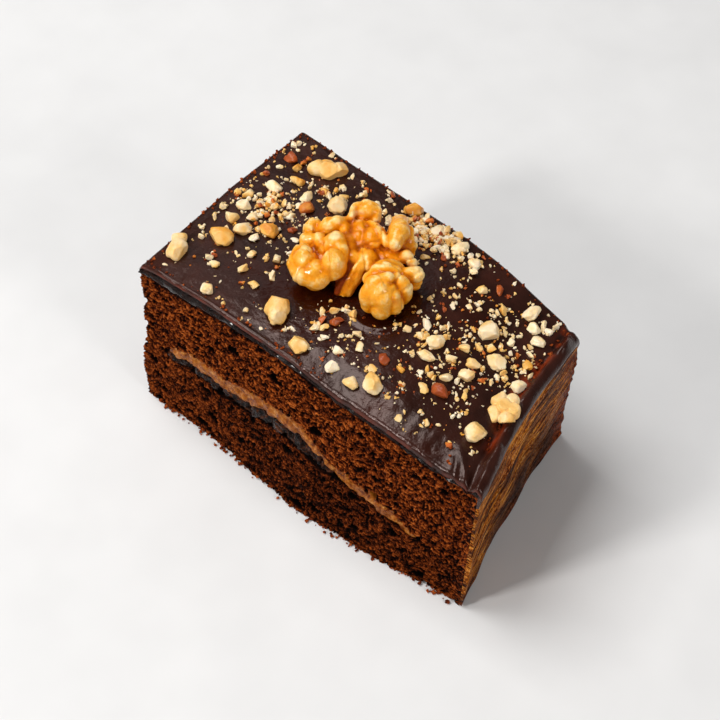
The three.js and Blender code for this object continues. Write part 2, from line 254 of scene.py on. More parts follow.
def box_grid(name, long, wide, rows):
    """A closed box from 0 to 1 each way, cut into a fine grid."""
    bm = bmesh.new()
    bmesh.ops.create_cube(bm, size=1.0, matrix=Matrix.Translation((0.5, 0.5, 0.5)))
    for axis, cuts in enumerate((long - 1, wide - 1, rows - 1)):
        if cuts < 1:
            continue
        along = [e for e in bm.edges if abs((e.verts[0].co - e.verts[1].co)[axis]) > 0.5 * e.calc_length()]
        bmesh.ops.subdivide_edges(bm, edges=along, cuts=cuts, use_grid_fill=True)
    mesh = bpy.data.meshes.new(name)
    bm.to_mesh(mesh)
    bm.free()
    return mesh


def close_ring(mesh):
    """Joins the seam of a ring of walls and closes it below and above."""
    bm = bmesh.new()
    bm.from_mesh(mesh)
    bmesh.ops.remove_doubles(bm, verts=bm.verts, dist=1e-6)
    rims = [e for e in bm.edges if e.is_boundary]
    bmesh.ops.edgeloop_fill(bm, edges=rims)
    bmesh.ops.recalc_face_normals(bm, faces=bm.faces)
    bm.to_mesh(mesh)
    bm.free()


# Materials

def linear(hex_colour):
    """An sRGB hex value as the linear colour that Blender works in."""
    parts = [int(hex_colour[i:i + 2], 16) / 255 for i in (1, 3, 5)]
    return tuple(c / 12.92 if c <= 0.04045 else ((c + 0.055) / 1.055) ** 2.4 for c in parts) + (1.0,)


def add_node(tree, kind, links=None, stops=None, values=None, **settings):
    """Adds one shader node with its settings, its input values and its links."""
    made = tree.nodes.new(kind)
    for key, value in settings.items():
        setattr(made, key, value)
    for key, value in (values or {}).items():
        made.inputs[key].default_value = value
    for key, source in (links or {}).items():
        tree.links.new(source, made.inputs[key])
    if stops:
        ramp = made.color_ramp
        while len(ramp.elements) < len(stops):
            ramp.elements.new(0.5)
        for element, (place, colour) in zip(ramp.elements, stops):
            element.position = place
            element.color = linear(colour) if isinstance(colour, str) else (colour, colour, colour, 1)
    return made


def new_material(name, **values):
    material = bpy.data.materials.new(name)
    material.use_nodes = True
    tree = material.node_tree
    shader = tree.nodes["Principled BSDF"]
    for key, value in values.items():
        shader.inputs[key.replace("_", " ")].default_value = value
    return material, tree, shader


def millimetres(tree):
    """Object coordinates turned into millimetres, so that a pattern's scale is per millimetre."""
    spots = add_node(tree, "ShaderNodeTexCoord")
    mapped = add_node(tree, "ShaderNodeMapping", links={"Vector": spots.outputs["Object"]},
                      values={"Scale": (1000, 1000, 1000)})
    return mapped.outputs["Vector"]


# Baked cocoa sponge: an open, dry crumb. Matt; its colour is partly the crumb's own tone and partly
# painted light and shade: a painted highlight, orange-brown, where a wall of the crumb catches light,
# and painted shade, near black, in its pores, with a few moist glints.
def sponge_material(name, ridge, body, shade, pore_shade):
    material, tree, shader = new_material(name, Specular_IOR_Level=0.06)
    place = millimetres(tree)
    openness = add_node(tree, "ShaderNodeAttribute", attribute_name="open")
    # Flakes of the crumb are about 0.5 mm across, with finer grains on them
    flakes = add_node(tree, "ShaderNodeTexNoise", links={"Vector": place},
                      values={"Scale": 2.0, "Detail": 3.0, "Roughness": 0.7})
    speckle = add_node(tree, "ShaderNodeMath", operation="MULTIPLY_ADD",
                       links={0: flakes.outputs["Fac"], 2: openness.outputs["Fac"]}, values={1: 1.1})
    scaled = add_node(tree, "ShaderNodeMath", operation="MULTIPLY", links={0: speckle.outputs["Value"]},
                      values={1: 0.75})
    # The ramp follows how deep the crumb lies: painted highlight on its walls, painted shade in its pores
    tone = add_node(tree, "ShaderNodeValToRGB", links={"Fac": scaled.outputs["Value"]},
                    stops=[(0.33, ridge), (0.52, body), (0.74, shade), (0.95, pore_shade)])
    tree.links.new(tone.outputs["Color"], shader.inputs["Base Color"])
    # Sparse moist grains glint
    moist = add_node(tree, "ShaderNodeTexNoise", links={"Vector": place},
                     values={"Scale": 1.1, "Detail": 1.0})
    dryness = add_node(tree, "ShaderNodeValToRGB", links={"Fac": moist.outputs["Fac"]},
                       stops=[(0.27, 0.25), (0.34, 1.0)])
    tree.links.new(dryness.outputs["Color"], shader.inputs["Roughness"])
    relief = add_node(tree, "ShaderNodeBump", links={"Height": flakes.outputs["Fac"]},
                      values={"Strength": 0.8, "Distance": 0.0008})
    tree.links.new(relief.outputs["Normal"], shader.inputs["Normal"])
    return material


# Poured chocolate ganache, set: dark aubergine brown with a satin skin, wetter and redder
# where it pooled, with a reddish syrup line in its groove and a painted reddish highlight along its cut
# edges.
def ganache_material():
    material, tree, shader = new_material(
        "ganache_poured", Specular_IOR_Level=0.32, Specular_Tint=(1.0, 0.82, 0.78, 1.0))
    place = millimetres(tree)
    pooled = add_node(tree, "ShaderNodeAttribute", attribute_name="pooled")
    rim = add_node(tree, "ShaderNodeAttribute", attribute_name="rim")
    # Cloudiness of the set skin, about 9 mm across
    cloud = add_node(tree, "ShaderNodeTexNoise", links={"Vector": place},
                     values={"Scale": 0.11, "Detail": 3.0, "Roughness": 0.55})
    skin = add_node(tree, "ShaderNodeValToRGB", links={"Fac": cloud.outputs["Fac"]},
                    stops=[(0.35, "#26110b"), (0.65, "#381b14")])
    wet = add_node(tree, "ShaderNodeMix", data_type="RGBA",
                   links={0: pooled.outputs["Fac"], 6: skin.outputs["Color"]}, values={7: linear("#2a0b03")})
    # The rim mask gives the groove's reddish syrup line and a painted highlight along the cut edges
    lit = add_node(tree, "ShaderNodeMix", data_type="RGBA",
                   links={0: rim.outputs["Fac"], 6: wet.outputs[2]}, values={7: linear("#9c3a18")})
    tree.links.new(lit.outputs[2], shader.inputs["Base Color"])
    # The skin is satin and a pool is glossy
    gloss = add_node(tree, "ShaderNodeMath", operation="MULTIPLY_ADD",
                     links={0: pooled.outputs["Fac"]}, values={1: -0.1, 2: 0.21})
    tree.links.new(gloss.outputs["Value"], shader.inputs["Roughness"])
    # Fine unevenness of the skin, about 1.4 mm
    grain = add_node(tree, "ShaderNodeTexNoise", links={"Vector": place},
                     values={"Scale": 0.7, "Detail": 4.0, "Roughness": 0.6})
    level = add_node(tree, "ShaderNodeMath", operation="MULTIPLY", links={0: grain.outputs["Fac"]},
                     values={1: 0.5})
    relief = add_node(tree, "ShaderNodeBump", links={"Height": level.outputs["Value"]},
                      values={"Strength": 0.6, "Distance": 0.0006})
    tree.links.new(relief.outputs["Normal"], shader.inputs["Normal"])
    return material


# The cut side of the ganache, smeared by the knife: darker and duller than its skin, with
# crumbs dragged into it, and a painted reddish highlight along its top edge.
def cut_ganache_material():
    material, tree, shader = new_material("ganache_cut", Specular_IOR_Level=0.09, Coat_Roughness=0.12)
    place = millimetres(tree)
    rim = add_node(tree, "ShaderNodeAttribute", attribute_name="rim")
    # Smears about 3 mm long and 1 mm high
    stretched = add_node(tree, "ShaderNodeMapping", links={"Vector": place},
                         values={"Scale": (0.35, 0.35, 1.1)})
    smear = add_node(tree, "ShaderNodeTexNoise", links={"Vector": stretched.outputs["Vector"]},
                     values={"Scale": 1.0, "Detail": 4.0, "Roughness": 0.6})
    tone = add_node(tree, "ShaderNodeValToRGB", links={"Fac": smear.outputs["Fac"]},
                    stops=[(0.34, "#0a0302"), (0.55, "#190a06"), (0.72, "#3a180c")])
    # Painted highlight: the rim mask lights a reddish line along the top of the cut side
    lit = add_node(tree, "ShaderNodeMix", data_type="RGBA",
                   links={0: rim.outputs["Fac"], 6: tone.outputs["Color"]}, values={7: linear("#7a3520")})
    tree.links.new(lit.outputs[2], shader.inputs["Base Color"])
    gloss = add_node(tree, "ShaderNodeValToRGB", links={"Fac": smear.outputs["Fac"]},
                     stops=[(0.4, 0.14), (0.65, 0.45)])
    tree.links.new(gloss.outputs["Color"], shader.inputs["Roughness"])
    # Wet patches, about 4 mm apart, catch the light
    wetness = add_node(tree, "ShaderNodeTexNoise", links={"Vector": place},
                       values={"Scale": 0.25, "Detail": 4.0})
    wet_share = add_node(tree, "ShaderNodeValToRGB", links={"Fac": wetness.outputs["Fac"]},
                         stops=[(0.48, 0.0), (0.6, 0.9)])
    tree.links.new(wet_share.outputs["Color"], shader.inputs["Coat Weight"])
    relief = add_node(tree, "ShaderNodeBump", links={"Height": smear.outputs["Fac"]},
                      values={"Strength": 0.8, "Distance": 0.0012})
    tree.links.new(relief.outputs["Normal"], shader.inputs["Normal"])
    return material


# The same ganache scraped thin down the outer end: its warm streaks are partly crumb showing
# through it and partly a painted golden reflection; it is darker towards its foot, and its far edge is bare
# reddish crumb.
def scraped_material():
    material, tree, shader = new_material(
        "ganache_scraped", Specular_IOR_Level=0.02, Roughness=0.4, Coat_Roughness=0.15)
    place = millimetres(tree)
    bare = add_node(tree, "ShaderNodeAttribute", attribute_name="bare_crumb")
    # Wavy spatula streaks about 0.6 mm apart and 7 mm long, sloping a little
    stretched = add_node(tree, "ShaderNodeMapping", links={"Vector": place},
                         values={"Scale": (0.3, 0.14, 1.6), "Rotation": (math.radians(9), 0, 0)})
    streak = add_node(tree, "ShaderNodeTexNoise", links={"Vector": stretched.outputs["Vector"]},
                      values={"Scale": 1.0, "Detail": 6.0, "Roughness": 0.66, "Distortion": 0.9})
    # Crumbs caught in the streaks, about 0.6 mm
    grit = add_node(tree, "ShaderNodeTexNoise", links={"Vector": place},
                    values={"Scale": 1.7, "Detail": 3.0, "Roughness": 0.7})
    broken = add_node(tree, "ShaderNodeMath", operation="MULTIPLY_ADD",
                      links={0: grit.outputs["Fac"], 2: streak.outputs["Fac"]}, values={1: 0.6})
    settled = add_node(tree, "ShaderNodeMath", operation="SUBTRACT", links={0: broken.outputs["Value"]},
                       values={1: 0.3})
    # Streak colours: partly crumb showing through, partly a painted golden reflection
    crumb_and_gold_reflection = add_node(tree, "ShaderNodeValToRGB", links={"Fac": settled.outputs["Value"]},
                    stops=[(0.37, "#321004"), (0.47, "#944608"), (0.55, "#d47c1e"), (0.67, "#f8b85c")])
    thick = add_node(tree, "ShaderNodeValToRGB", links={"Fac": settled.outputs["Value"]},
                     stops=[(0.4, "#120402"), (0.53, "#361405"), (0.67, "#7c3c10")])
    crumb = add_node(tree, "ShaderNodeTexNoise", links={"Vector": place},
                     values={"Scale": 1.1, "Detail": 4.0, "Roughness": 0.7})
    crumb_tone = add_node(tree, "ShaderNodeValToRGB", links={"Fac": crumb.outputs["Fac"]},
                          stops=[(0.38, "#120401"), (0.5, "#6c280a"), (0.66, "#b0561e")])
    # Patches where the ganache stayed thicker, about 20 mm long and 2 mm high
    stain = add_node(tree, "ShaderNodeTexNoise", links={"Vector": stretched.outputs["Vector"]},
                     values={"Scale": 0.35, "Detail": 4.0, "Roughness": 0.6})
    stain_share = add_node(tree, "ShaderNodeValToRGB", links={"Fac": stain.outputs["Fac"]},
                           stops=[(0.47, 0.0), (0.6, 0.95)])
    left_thick = add_node(tree, "ShaderNodeAttribute", attribute_name="left_thick")
    most = add_node(tree, "ShaderNodeMath", operation="MAXIMUM",
                    links={0: stain_share.outputs["Color"], 1: left_thick.outputs["Fac"]})
    stained = add_node(tree, "ShaderNodeMix", data_type="RGBA",
                       links={0: most.outputs["Value"], 6: crumb_and_gold_reflection.outputs["Color"], 7: thick.outputs["Color"]})
    tone = add_node(tree, "ShaderNodeMix", data_type="RGBA",
                    links={0: bare.outputs["Fac"], 6: stained.outputs[2], 7: crumb_tone.outputs["Color"]})
    tree.links.new(tone.outputs[2], shader.inputs["Base Color"])
    glint = add_node(tree, "ShaderNodeValToRGB", links={"Fac": grit.outputs["Fac"]},
                     stops=[(0.56, 0.0), (0.66, 0.7)])
    tree.links.new(glint.outputs["Color"], shader.inputs["Coat Weight"])
    relief = add_node(tree, "ShaderNodeBump", links={"Height": broken.outputs["Value"]},
                      values={"Strength": 0.9, "Distance": 0.001})
    tree.links.new(relief.outputs["Normal"], shader.inputs["Normal"])
    return material


# Caramel cream: opaque, satin, tan, with darker crumbs dragged over it by the knife.
def caramel_material():
    material, tree, shader = new_material("caramel_cream", Roughness=0.2, Specular_IOR_Level=0.14)
    place = millimetres(tree)
    smear = add_node(tree, "ShaderNodeTexNoise", links={"Vector": place},
                     values={"Scale": 0.8, "Detail": 4.0, "Roughness": 0.65})
    tone = add_node(tree, "ShaderNodeValToRGB", links={"Fac": smear.outputs["Fac"]},
                    stops=[(0.34, "#552408"), (0.45, "#88460f"), (0.58, "#a8621f"), (0.72, "#cc8c42")])
    tree.links.new(tone.outputs["Color"], shader.inputs["Base Color"])
    relief = add_node(tree, "ShaderNodeBump", links={"Height": smear.outputs["Fac"]},
                      values={"Strength": 0.6, "Distance": 0.0006})
    tree.links.new(relief.outputs["Normal"], shader.inputs["Normal"])
    return material


# Chocolate cream: soft, wet and almost black, so it shows mostly by its highlights.
def chocolate_cream_material():
    material, tree, shader = new_material("chocolate_cream", Roughness=0.12, Specular_IOR_Level=0.1)
    place = millimetres(tree)
    lumps = add_node(tree, "ShaderNodeTexNoise", links={"Vector": place},
                     values={"Scale": 0.7, "Detail": 3.0, "Roughness": 0.6})
    tone = add_node(tree, "ShaderNodeValToRGB", links={"Fac": lumps.outputs["Fac"]},
                    stops=[(0.35, "#060201"), (0.52, "#1e0c05"), (0.68, "#4e260f")])
    tree.links.new(tone.outputs["Color"], shader.inputs["Base Color"])
    relief = add_node(tree, "ShaderNodeBump", links={"Height": lumps.outputs["Fac"]},
                      values={"Strength": 0.8, "Distance": 0.0008})
    tree.links.new(relief.outputs["Normal"], shader.inputs["Normal"])
    return material


# Walnut kernel in set honey: amber and see-through in the folds, darker there with painted shade,
# pale on the bulges with painted highlights, under a smooth glossy coat.
def honey_walnut_material():
    material, tree, shader = new_material(
        "honey_glazed_walnut", Roughness=0.3, Specular_IOR_Level=0.05, Subsurface_Weight=0.06,
        Subsurface_Scale=0.001, Subsurface_Radius=(1.0, 0.4, 0.1), Coat_Weight=0.45, Coat_Roughness=0.05)
    place = millimetres(tree)
    bulge = add_node(tree, "ShaderNodeAttribute", attribute_name="bulge")
    bare = add_node(tree, "ShaderNodeAttribute", attribute_name="bare")
    blade_shade = add_node(tree, "ShaderNodeAttribute", attribute_name="blade_shade")
    # Pale mottling of the kernel through the honey, about 2 mm
    mottle = add_node(tree, "ShaderNodeTexNoise", links={"Vector": place},
                      values={"Scale": 0.5, "Detail": 5.0, "Roughness": 0.62})
    mixed = add_node(tree, "ShaderNodeMath", operation="MULTIPLY_ADD",
                     links={0: mottle.outputs["Fac"], 2: bulge.outputs["Fac"]}, values={1: 0.9})
    scaled = add_node(tree, "ShaderNodeMath", operation="MULTIPLY", links={0: mixed.outputs["Value"]},
                      values={1: 0.6})
    # The ramp follows the bulge: painted highlights, pale, on the bulges and painted shade, deep amber, in
    # the folds
    tone = add_node(tree, "ShaderNodeValToRGB", links={"Fac": scaled.outputs["Value"]},
                    stops=[(0.22, "#a64c00"), (0.35, "#d07000"), (0.48, "#ec8e06"), (0.61, "#f6aa34"),
                           (0.7, "#fcd080"), (0.82, "#ffe8b8")])
    cream = add_node(tree, "ShaderNodeMix", data_type="RGBA",
                     links={0: bare.outputs["Fac"], 6: tone.outputs["Color"]}, values={7: linear("#fbdc9c")})
    # Painted shade: the face of the thin wall between the front lobes is dark red-brown
    dark = add_node(tree, "ShaderNodeMix", data_type="RGBA",
                    links={0: blade_shade.outputs["Fac"], 6: cream.outputs[2]}, values={7: linear("#8a3400")})
    tree.links.new(dark.outputs[2], shader.inputs["Base Color"])
    wrinkle = add_node(tree, "ShaderNodeTexNoise", links={"Vector": place},
                       values={"Scale": 1.1, "Detail": 4.0, "Roughness": 0.65})
    relief = add_node(tree, "ShaderNodeBump", links={"Height": wrinkle.outputs["Fac"]},
                      values={"Strength": 0.6, "Distance": 0.0006})
    tree.links.new(relief.outputs["Normal"], shader.inputs["Normal"])
    return material


# Chopped nut: a broken, waxy kernel, from cream through gold to its orange-brown skin.
def nut_material():
    material, tree, shader = new_material(
        "chopped_nut", Roughness=0.34, Specular_IOR_Level=0.34, Subsurface_Weight=0.12,
        Subsurface_Scale=0.0012, Subsurface_Radius=(1.0, 0.6, 0.3))
    place = millimetres(tree)
    tone = add_node(tree, "ShaderNodeAttribute", attribute_name="tone")
    grain = add_node(tree, "ShaderNodeTexNoise", links={"Vector": place},
                     values={"Scale": 1.1, "Detail": 4.0, "Roughness": 0.6})
    mixed = add_node(tree, "ShaderNodeMath", operation="MULTIPLY_ADD",
                     links={0: grain.outputs["Fac"], 2: tone.outputs["Fac"]}, values={1: 0.22})
    colour = add_node(tree, "ShaderNodeValToRGB", links={"Fac": mixed.outputs["Value"]},
                      stops=[(0.06, "#fdf0d8"), (0.25, "#f9e0b4"), (0.42, "#f4c67a"), (0.58, "#eaa640"),
                             (0.8, "#cc6a2a"), (1.0, "#9c4620")])
    tree.links.new(colour.outputs["Color"], shader.inputs["Base Color"])
    relief = add_node(tree, "ShaderNodeBump", links={"Height": grain.outputs["Fac"]},
                      values={"Strength": 0.4, "Distance": 0.0003})
    tree.links.new(relief.outputs["Normal"], shader.inputs["Normal"])
    return material


# Loose crumbs of the sponge: dry, matt and orange-brown where they catch the light.
def loose_crumb_material():
    material, tree, shader = new_material("cocoa_crumbs_loose", Specular_IOR_Level=0.1, Roughness=0.8)
    place = millimetres(tree)
    grain = add_node(tree, "ShaderNodeTexNoise", links={"Vector": place},
                     values={"Scale": 0.9, "Detail": 3.0})
    tone = add_node(tree, "ShaderNodeValToRGB", links={"Fac": grain.outputs["Fac"]},
                    stops=[(0.35, "#4a1a08"), (0.55, "#8c3c14"), (0.7, "#b8602a")])
    tree.links.new(tone.outputs["Color"], shader.inputs["Base Color"])
    relief = add_node(tree, "ShaderNodeBump", links={"Height": grain.outputs["Fac"]},
                      values={"Strength": 0.5, "Distance": 0.0004})
    tree.links.new(relief.outputs["Normal"], shader.inputs["Normal"])
    return material


# Sponge

# Millimetres to one whole share along and across, for patterns laid over the shares
ABOUT_LONG = 90
ABOUT_WIDE = 55


def edge_wander(u, v, seed):
    """How far an edge between two layers strays up or down, in millimetres."""
    along = np.stack([ABOUT_LONG * u, ABOUT_WIDE * v, 0 * u], 1)
    broad = 0.42 * unevenness(along, 4.5, seed)
    middling = 0.3 * unevenness(along, 1.7, seed + 1)
    fine = 0.16 * unevenness(along, 0.7, seed + 2)
    return broad + middling + fine


# How far sponge and fillings stay in from the outer end, under its thin coat
COAT_SEEN = 1.0
# Seeds of the edges between lower sponge, chocolate cream, caramel and upper sponge
EDGE_LOW = 150
EDGE_MIDDLE = 160
EDGE_HIGH = 170
SPONGE_COLUMNS = {"front": 470, "right": 12, "back": 200, "left": 180}


def ring_shares(share):
    """Shares u and v, and the outward direction, at a share of the way round the block."""
    lengths = np.array([0.0] + list(SPONGE_COLUMNS.values()))
    ends = np.cumsum(lengths) / lengths.sum()
    u = np.interp(share, ends, [0, 1, 1, 0, 0])
    v = np.interp(share, ends, [0, 0, 1, 1, 0])
    turn = 6 / lengths.sum()
    places = [0, turn, ends[1] - turn, ends[1] + turn / 4, ends[2] - turn / 4, ends[2] + turn, ends[3] - turn,
              ends[3] + turn, 1 - turn, 1]
    out_x = np.interp(share, places, [-0.7, 0, 0, 1, 1, 0, 0, -1, -1, -0.7])
    out_y = np.interp(share, places, [-0.7, -1, -1, 0, 0, 1, 1, 0, 0, -0.7])
    return u, v, out_x, out_y


def crumb_depth(spots):
    """How far the crumb lies in from the cut, and how open it is there, from 0 to 1."""
    warp = np.stack([unevenness(spots, 1.2, 11), unevenness(spots, 1.2, 12), unevenness(spots, 1.2, 13)], 1)
    bent = spots * np.array([0.75, 0.75, 1.15]) + 0.45 * warp
    big = pores(bent, 3.4, 0.4, 1.75, 0.62, 20)
    middling = pores(bent, 1.7, 0.2, 0.65, 0.6, 30)
    small = pores(bent, 0.75, 0.12, 0.34, 0.95, 40)
    walls = np.abs(unevenness(bent, 0.42, 50))
    leaves = np.abs(unevenness(bent, 0.9, 51))
    depth = 1.9 * smooth(0, 0.7, big) + 1.0 * smooth(0, 0.7, middling) + 0.6 * smooth(0, 1, small)
    depth += 0.8 * walls + 0.5 * leaves
    shallow, deep = np.percentile(depth, [8, 93])
    openness = np.clip((depth - shallow) / (deep - shallow), 0, 1)
    broad = unevenness(spots, 7.0, 60)
    return depth - np.percentile(depth, 35) - 0.45 * broad, openness


def painted_shade_low(u):
    """Painted shade in the middle of the lower layer's cut and painted light at its left end."""
    return 0.1 * bell(u, 0.5, 0.3) - 0.1 * bell(u, 0.0, 0.3)


def left_swell(spots):
    """How far the left side swells out above and below the seam of its two layers."""
    z = spots[:, 2]
    ledges = 0.8 * bell(z, 9, 7) + 0.5 * bell(z, 30, 8) - 0.7 * bell(z, 20, 1.5)
    return ledges + 0.7 * unevenness(spots, 4.5, 81)


def sponge_piece(name, node, floor_at, top_at, rows, material, floor_edge, top_edge, painted_shade=None):
    columns = sum(SPONGE_COLUMNS.values())
    bm = bmesh.new()
    bmesh.ops.create_grid(bm, x_segments=columns, y_segments=rows, size=0.5)
    mesh = bpy.data.meshes.new(name)
    bm.to_mesh(mesh)
    bm.free()
    flat = spots_of(mesh)
    share = flat[:, 0] + 0.5
    row = flat[:, 1] + 0.5
    u, v, out_x, out_y = ring_shares(share)
    low = floor_at(u, v) + (edge_wander(u, v, floor_edge) - 0.15 if floor_edge else 0)
    high = top_at(u, v) + (edge_wander(u, v, top_edge) + 0.15 if top_edge else 0.25)
    z = mix(low, high, row)
    x, y = plan(u, v, z / BLOCK_TOP)
    x = x - COAT_SEEN * u
    spots = np.stack([x, y, z], 1)
    depth, openness = crumb_depth(spots)
    calm = 1 - 0.85 * smooth(0.97, 1, u)
    spots[:, 0] -= out_x * depth * calm + np.where(out_x < -0.5, left_swell(spots), 0)
    spots[:, 1] -= out_y * depth * calm
    jitter = unevenness(spots, 0.9, 80)
    lift = 0.3 * jitter * smooth(0, 0.6, z) * smooth(0, 0.06, row) * smooth(0, 0.06, 1 - row)
    spots[:, 2] = np.maximum(0, spots[:, 2] + lift)
    put_spots(mesh, spots)
    # On the lower layer, painted shade darkens the middle of the cut and painted light lightens its left end
    paint(mesh, "open", openness + (painted_shade(u) if painted_shade else 0))
    close_ring(mesh)
    return add_piece(name, mesh, material, "sponge", node)


# Fillings

# Millimetres to one whole share along, a step of the mesh along it, and its steps across and up
FILLING_RUN = 92
FILLING_STEP = 0.3
FILLING_ACROSS = 24
FILLING_ROWS = 11


def filling_piece(name, node, slot, span, floor_at, top_at, material, edges, recess, lumpiness, tearing,
                  smeared):
    steps = int((span[1] - span[0]) * FILLING_RUN / FILLING_STEP)
    mesh = box_grid(name, steps, FILLING_ACROSS, FILLING_ROWS)
    flat = spots_of(mesh)
    u = mix(span[0], span[1], flat[:, 0])
    v = flat[:, 1]
    row = flat[:, 2]
    low = floor_at(u, v) + edge_wander(u, v, edges[0]) - smeared
    high = top_at(u, v) + edge_wander(u, v, edges[1]) + smeared
    z = mix(low, np.maximum(high, low + 0.25), row)
    x, y = plan(u, v, z / BLOCK_TOP)
    x = x - COAT_SEEN * u
    edge = np.where(v < 0.001, 1.0, np.where(v > 0.999, -1.0, 0.0))
    spots = np.stack([x, y, z], 1)
    seed = edges[0] + 50
    swell = lumpiness * (unevenness(spots, 1.6, seed) + 0.6 * unevenness(spots, 0.7, seed + 1))
    round_edge = 0.5 * (2 * row - 1) ** 4
    torn = tearing * smooth(0.2, 0.5, unevenness(spots, 1.8, seed + 2))
    spots[:, 1] += edge * (recess - swell + round_edge + torn)
    put_spots(mesh, spots)
    return add_piece(name, mesh, material, slot, node)


# Glaze

# The glaze's run over the top and down the end, its width, the height of its foot and a step of its
# mesh, in millimetres
TOP_RUN = 93.0
END_RUN = 41.5
GLAZE_WIDE = 54
GLAZE_FOOT = 0.55
GLAZE_STEP = 0.42
GLAZE_ROWS = 12
EDGE_ROUND = 1.1
# Shares of the run where the lip stands and where the groove behind it lies
LIP_AT = 0.982
GROOVE_AT = 0.96
# Draws the rows of the mesh together along the long rims
EDGE_CROWDING = 0.06
# Where the glaze climbs a little round the walnut's front lobe
CLIMB_MIDDLE = (3.4, -3.1)
CLIMB_REACH = 6.3
CLIMB_HEIGHT = 0.55
CLIMB_WIDTH = 0.75
CLIMB_FACING = (0.5, -0.87)
# Where the glaze pooled by the walnut: middle, turn in radians and reach both ways
POOL_MIDDLE = (-5.0, -3.5)
POOL_TURN = 0.67
POOL_REACH = (19.0, 16.5)


def rounding(distance, radius):
    """Drop of a rounded edge at a distance in from it."""
    inside = np.clip(1 - distance / radius, 0, 1)
    return radius * (1 - np.sqrt(1 - inside * inside))


def glaze_climb(x, y):
    """A low curved swell that the glaze left round the front lobe as it set."""
    from_x = x - CLIMB_MIDDLE[0]
    from_y = y - CLIMB_MIDDLE[1]
    distance = np.hypot(from_x, from_y)
    facing = (from_x * CLIMB_FACING[0] + from_y * CLIMB_FACING[1]) / np.maximum(distance, CLIMB_WIDTH)
    return CLIMB_HEIGHT * bell(distance, CLIMB_REACH, CLIMB_WIDTH) * smooth(0.1, 0.8, facing)


def glaze_top(u, v):
    """Height of the poured surface, with its lip, groove, dents and rounded rims."""
    x, y = plan(u, v, 1)
    spots = np.stack([x, y, 0 * x], 1)
    dents = unevenness(spots, 4.0, 90)
    lumps = 0.35 * unevenness(spots, 1.9, 112)
    lip = (0.8 + 0.8 * dents + lumps) * bell(u, LIP_AT + 0.006 * dents, 0.01)
    groove = (0.8 + 0.35 * dents) * bell(u, GROOVE_AT + 0.004 * np.sin(9 * v) + 0.004 * dents, 0.01)
    pitted = smooth(0.3, 0.5, u) * (1 - smooth(0.15, 0.4, v))
    fine = 0.06 * unevenness(spots, 1.5, 108) * pitted + 0.025 * unevenness(spots, 1.1, 109)
    far_corner = 1.2 * smooth(0.93, 1, u) * smooth(0.88, 1, v)
    slump = 1.5 * smooth(0.42, 0.62, u) * (1 - smooth(0.0, 0.14, v))
    corner = 0.9 * (1 - smooth(0, 0.07, u)) * (1 - smooth(0, 0.5, v))
    broad = 0.3 * unevenness(spots, 13.0, 91) + 0.14 * unevenness(spots, 5.0, 92)
    broad += 0.05 * unevenness(spots, 1.8, 93)
    fold = 0.7 * bell(u + 0.35 * v, 0.955, 0.012) * (1 - smooth(0.06, 0.2, v)) * smooth(0.86, 0.93, u)
    second_fold = 0.6 * bell(u + 0.2 * v, 0.925, 0.01) * (1 - smooth(0.04, 0.16, v)) * smooth(0.84, 0.9, u)
    front_round = mix(0.5, 1.2, smooth(0.4, 0.62, u))
    sides = rounding(TOP_RUN * u, EDGE_ROUND) + rounding(GLAZE_WIDE * v, front_round)
    sides += rounding(GLAZE_WIDE * (1 - v), EDGE_ROUND)
    crest = 0.16 * bell(GLAZE_WIDE * v, 0.5, 0.3) * (1 - smooth(0.4, 0.55, u))
    crest *= 1 + unevenness(spots, 6.0, 94)
    height = top_height(u, v) + lip - groove - far_corner - slump - corner
    return height + broad + fine + fold + second_fold + crest + glaze_climb(x, y) - sides


SHARE_CORRECTIONS = 12
# Millimetres to one whole share, as the corrections take it
CORRECTION_LONG = 90
CORRECTION_WIDE = 52


def shares_at(x, y):
    """Shares of a spot seen from above, found by a few steps of correction."""
    u = np.full_like(x, 0.5)
    v = np.full_like(x, 0.5)
    for _ in range(SHARE_CORRECTIONS):
        plan_x, plan_y = plan(u, v, 1)
        u = u + (x - plan_x) / CORRECTION_LONG
        v = v + (y - plan_y) / CORRECTION_WIDE
    return u, v


def surface_at(x, y):
    u, v = shares_at(np.atleast_1d(np.asarray(x, float)), np.atleast_1d(np.asarray(y, float)))
    return glaze_top(np.clip(u, 0, 1), np.clip(v, 0, 1))


def drape_reach(v):
    """How far the poured glaze hangs over the end, more at its two corners."""
    return 1.5 + 2.2 * bell(v, 0.0, 0.16) + 1.6 * bell(v, 1.0, 0.12) + 0.4 * np.sin(11 * v)


def glaze_outside(run, v):
    """The outer surface along a run over the top and down the outer end."""
    u = np.clip(run / TOP_RUN, 0, 1)
    down = np.maximum(0, run - TOP_RUN)
    edge_z = glaze_top(u, v)
    z = edge_z - down / END_RUN * (edge_z - GLAZE_FOOT)
    x, y = plan(u, v, np.clip(z / BLOCK_TOP, 0, 1))
    spots = np.stack([0 * x, y, z], 1)
    drape_end = drape_reach(v) + 0.4 * np.sin(17 * v)
    away_from_corners = smooth(0, 0.06, v) * smooth(0, 0.1, 1 - v)
    hanging = 1 - smooth(drape_end - 1.2, drape_end + 0.6, down)
    drape = 0.45 * hanging * smooth(0, 1.5, down) * away_from_corners
    stretched = spots * np.array([1, 0.14, 1])
    stretched[:, 2] += 1.6 * unevenness(spots, 8.0, 110)
    streaks = 0.24 * unevenness(stretched, 1.0, 95) + 0.36 * unevenness(stretched, 2.6, 96)
    wave = 0.35 * unevenness(spots, 9.0, 97)
    outward = drape + (streaks + wave - 0.15) * smooth(0.5, 4, down)
    return np.stack([x + outward, y, z], 1)


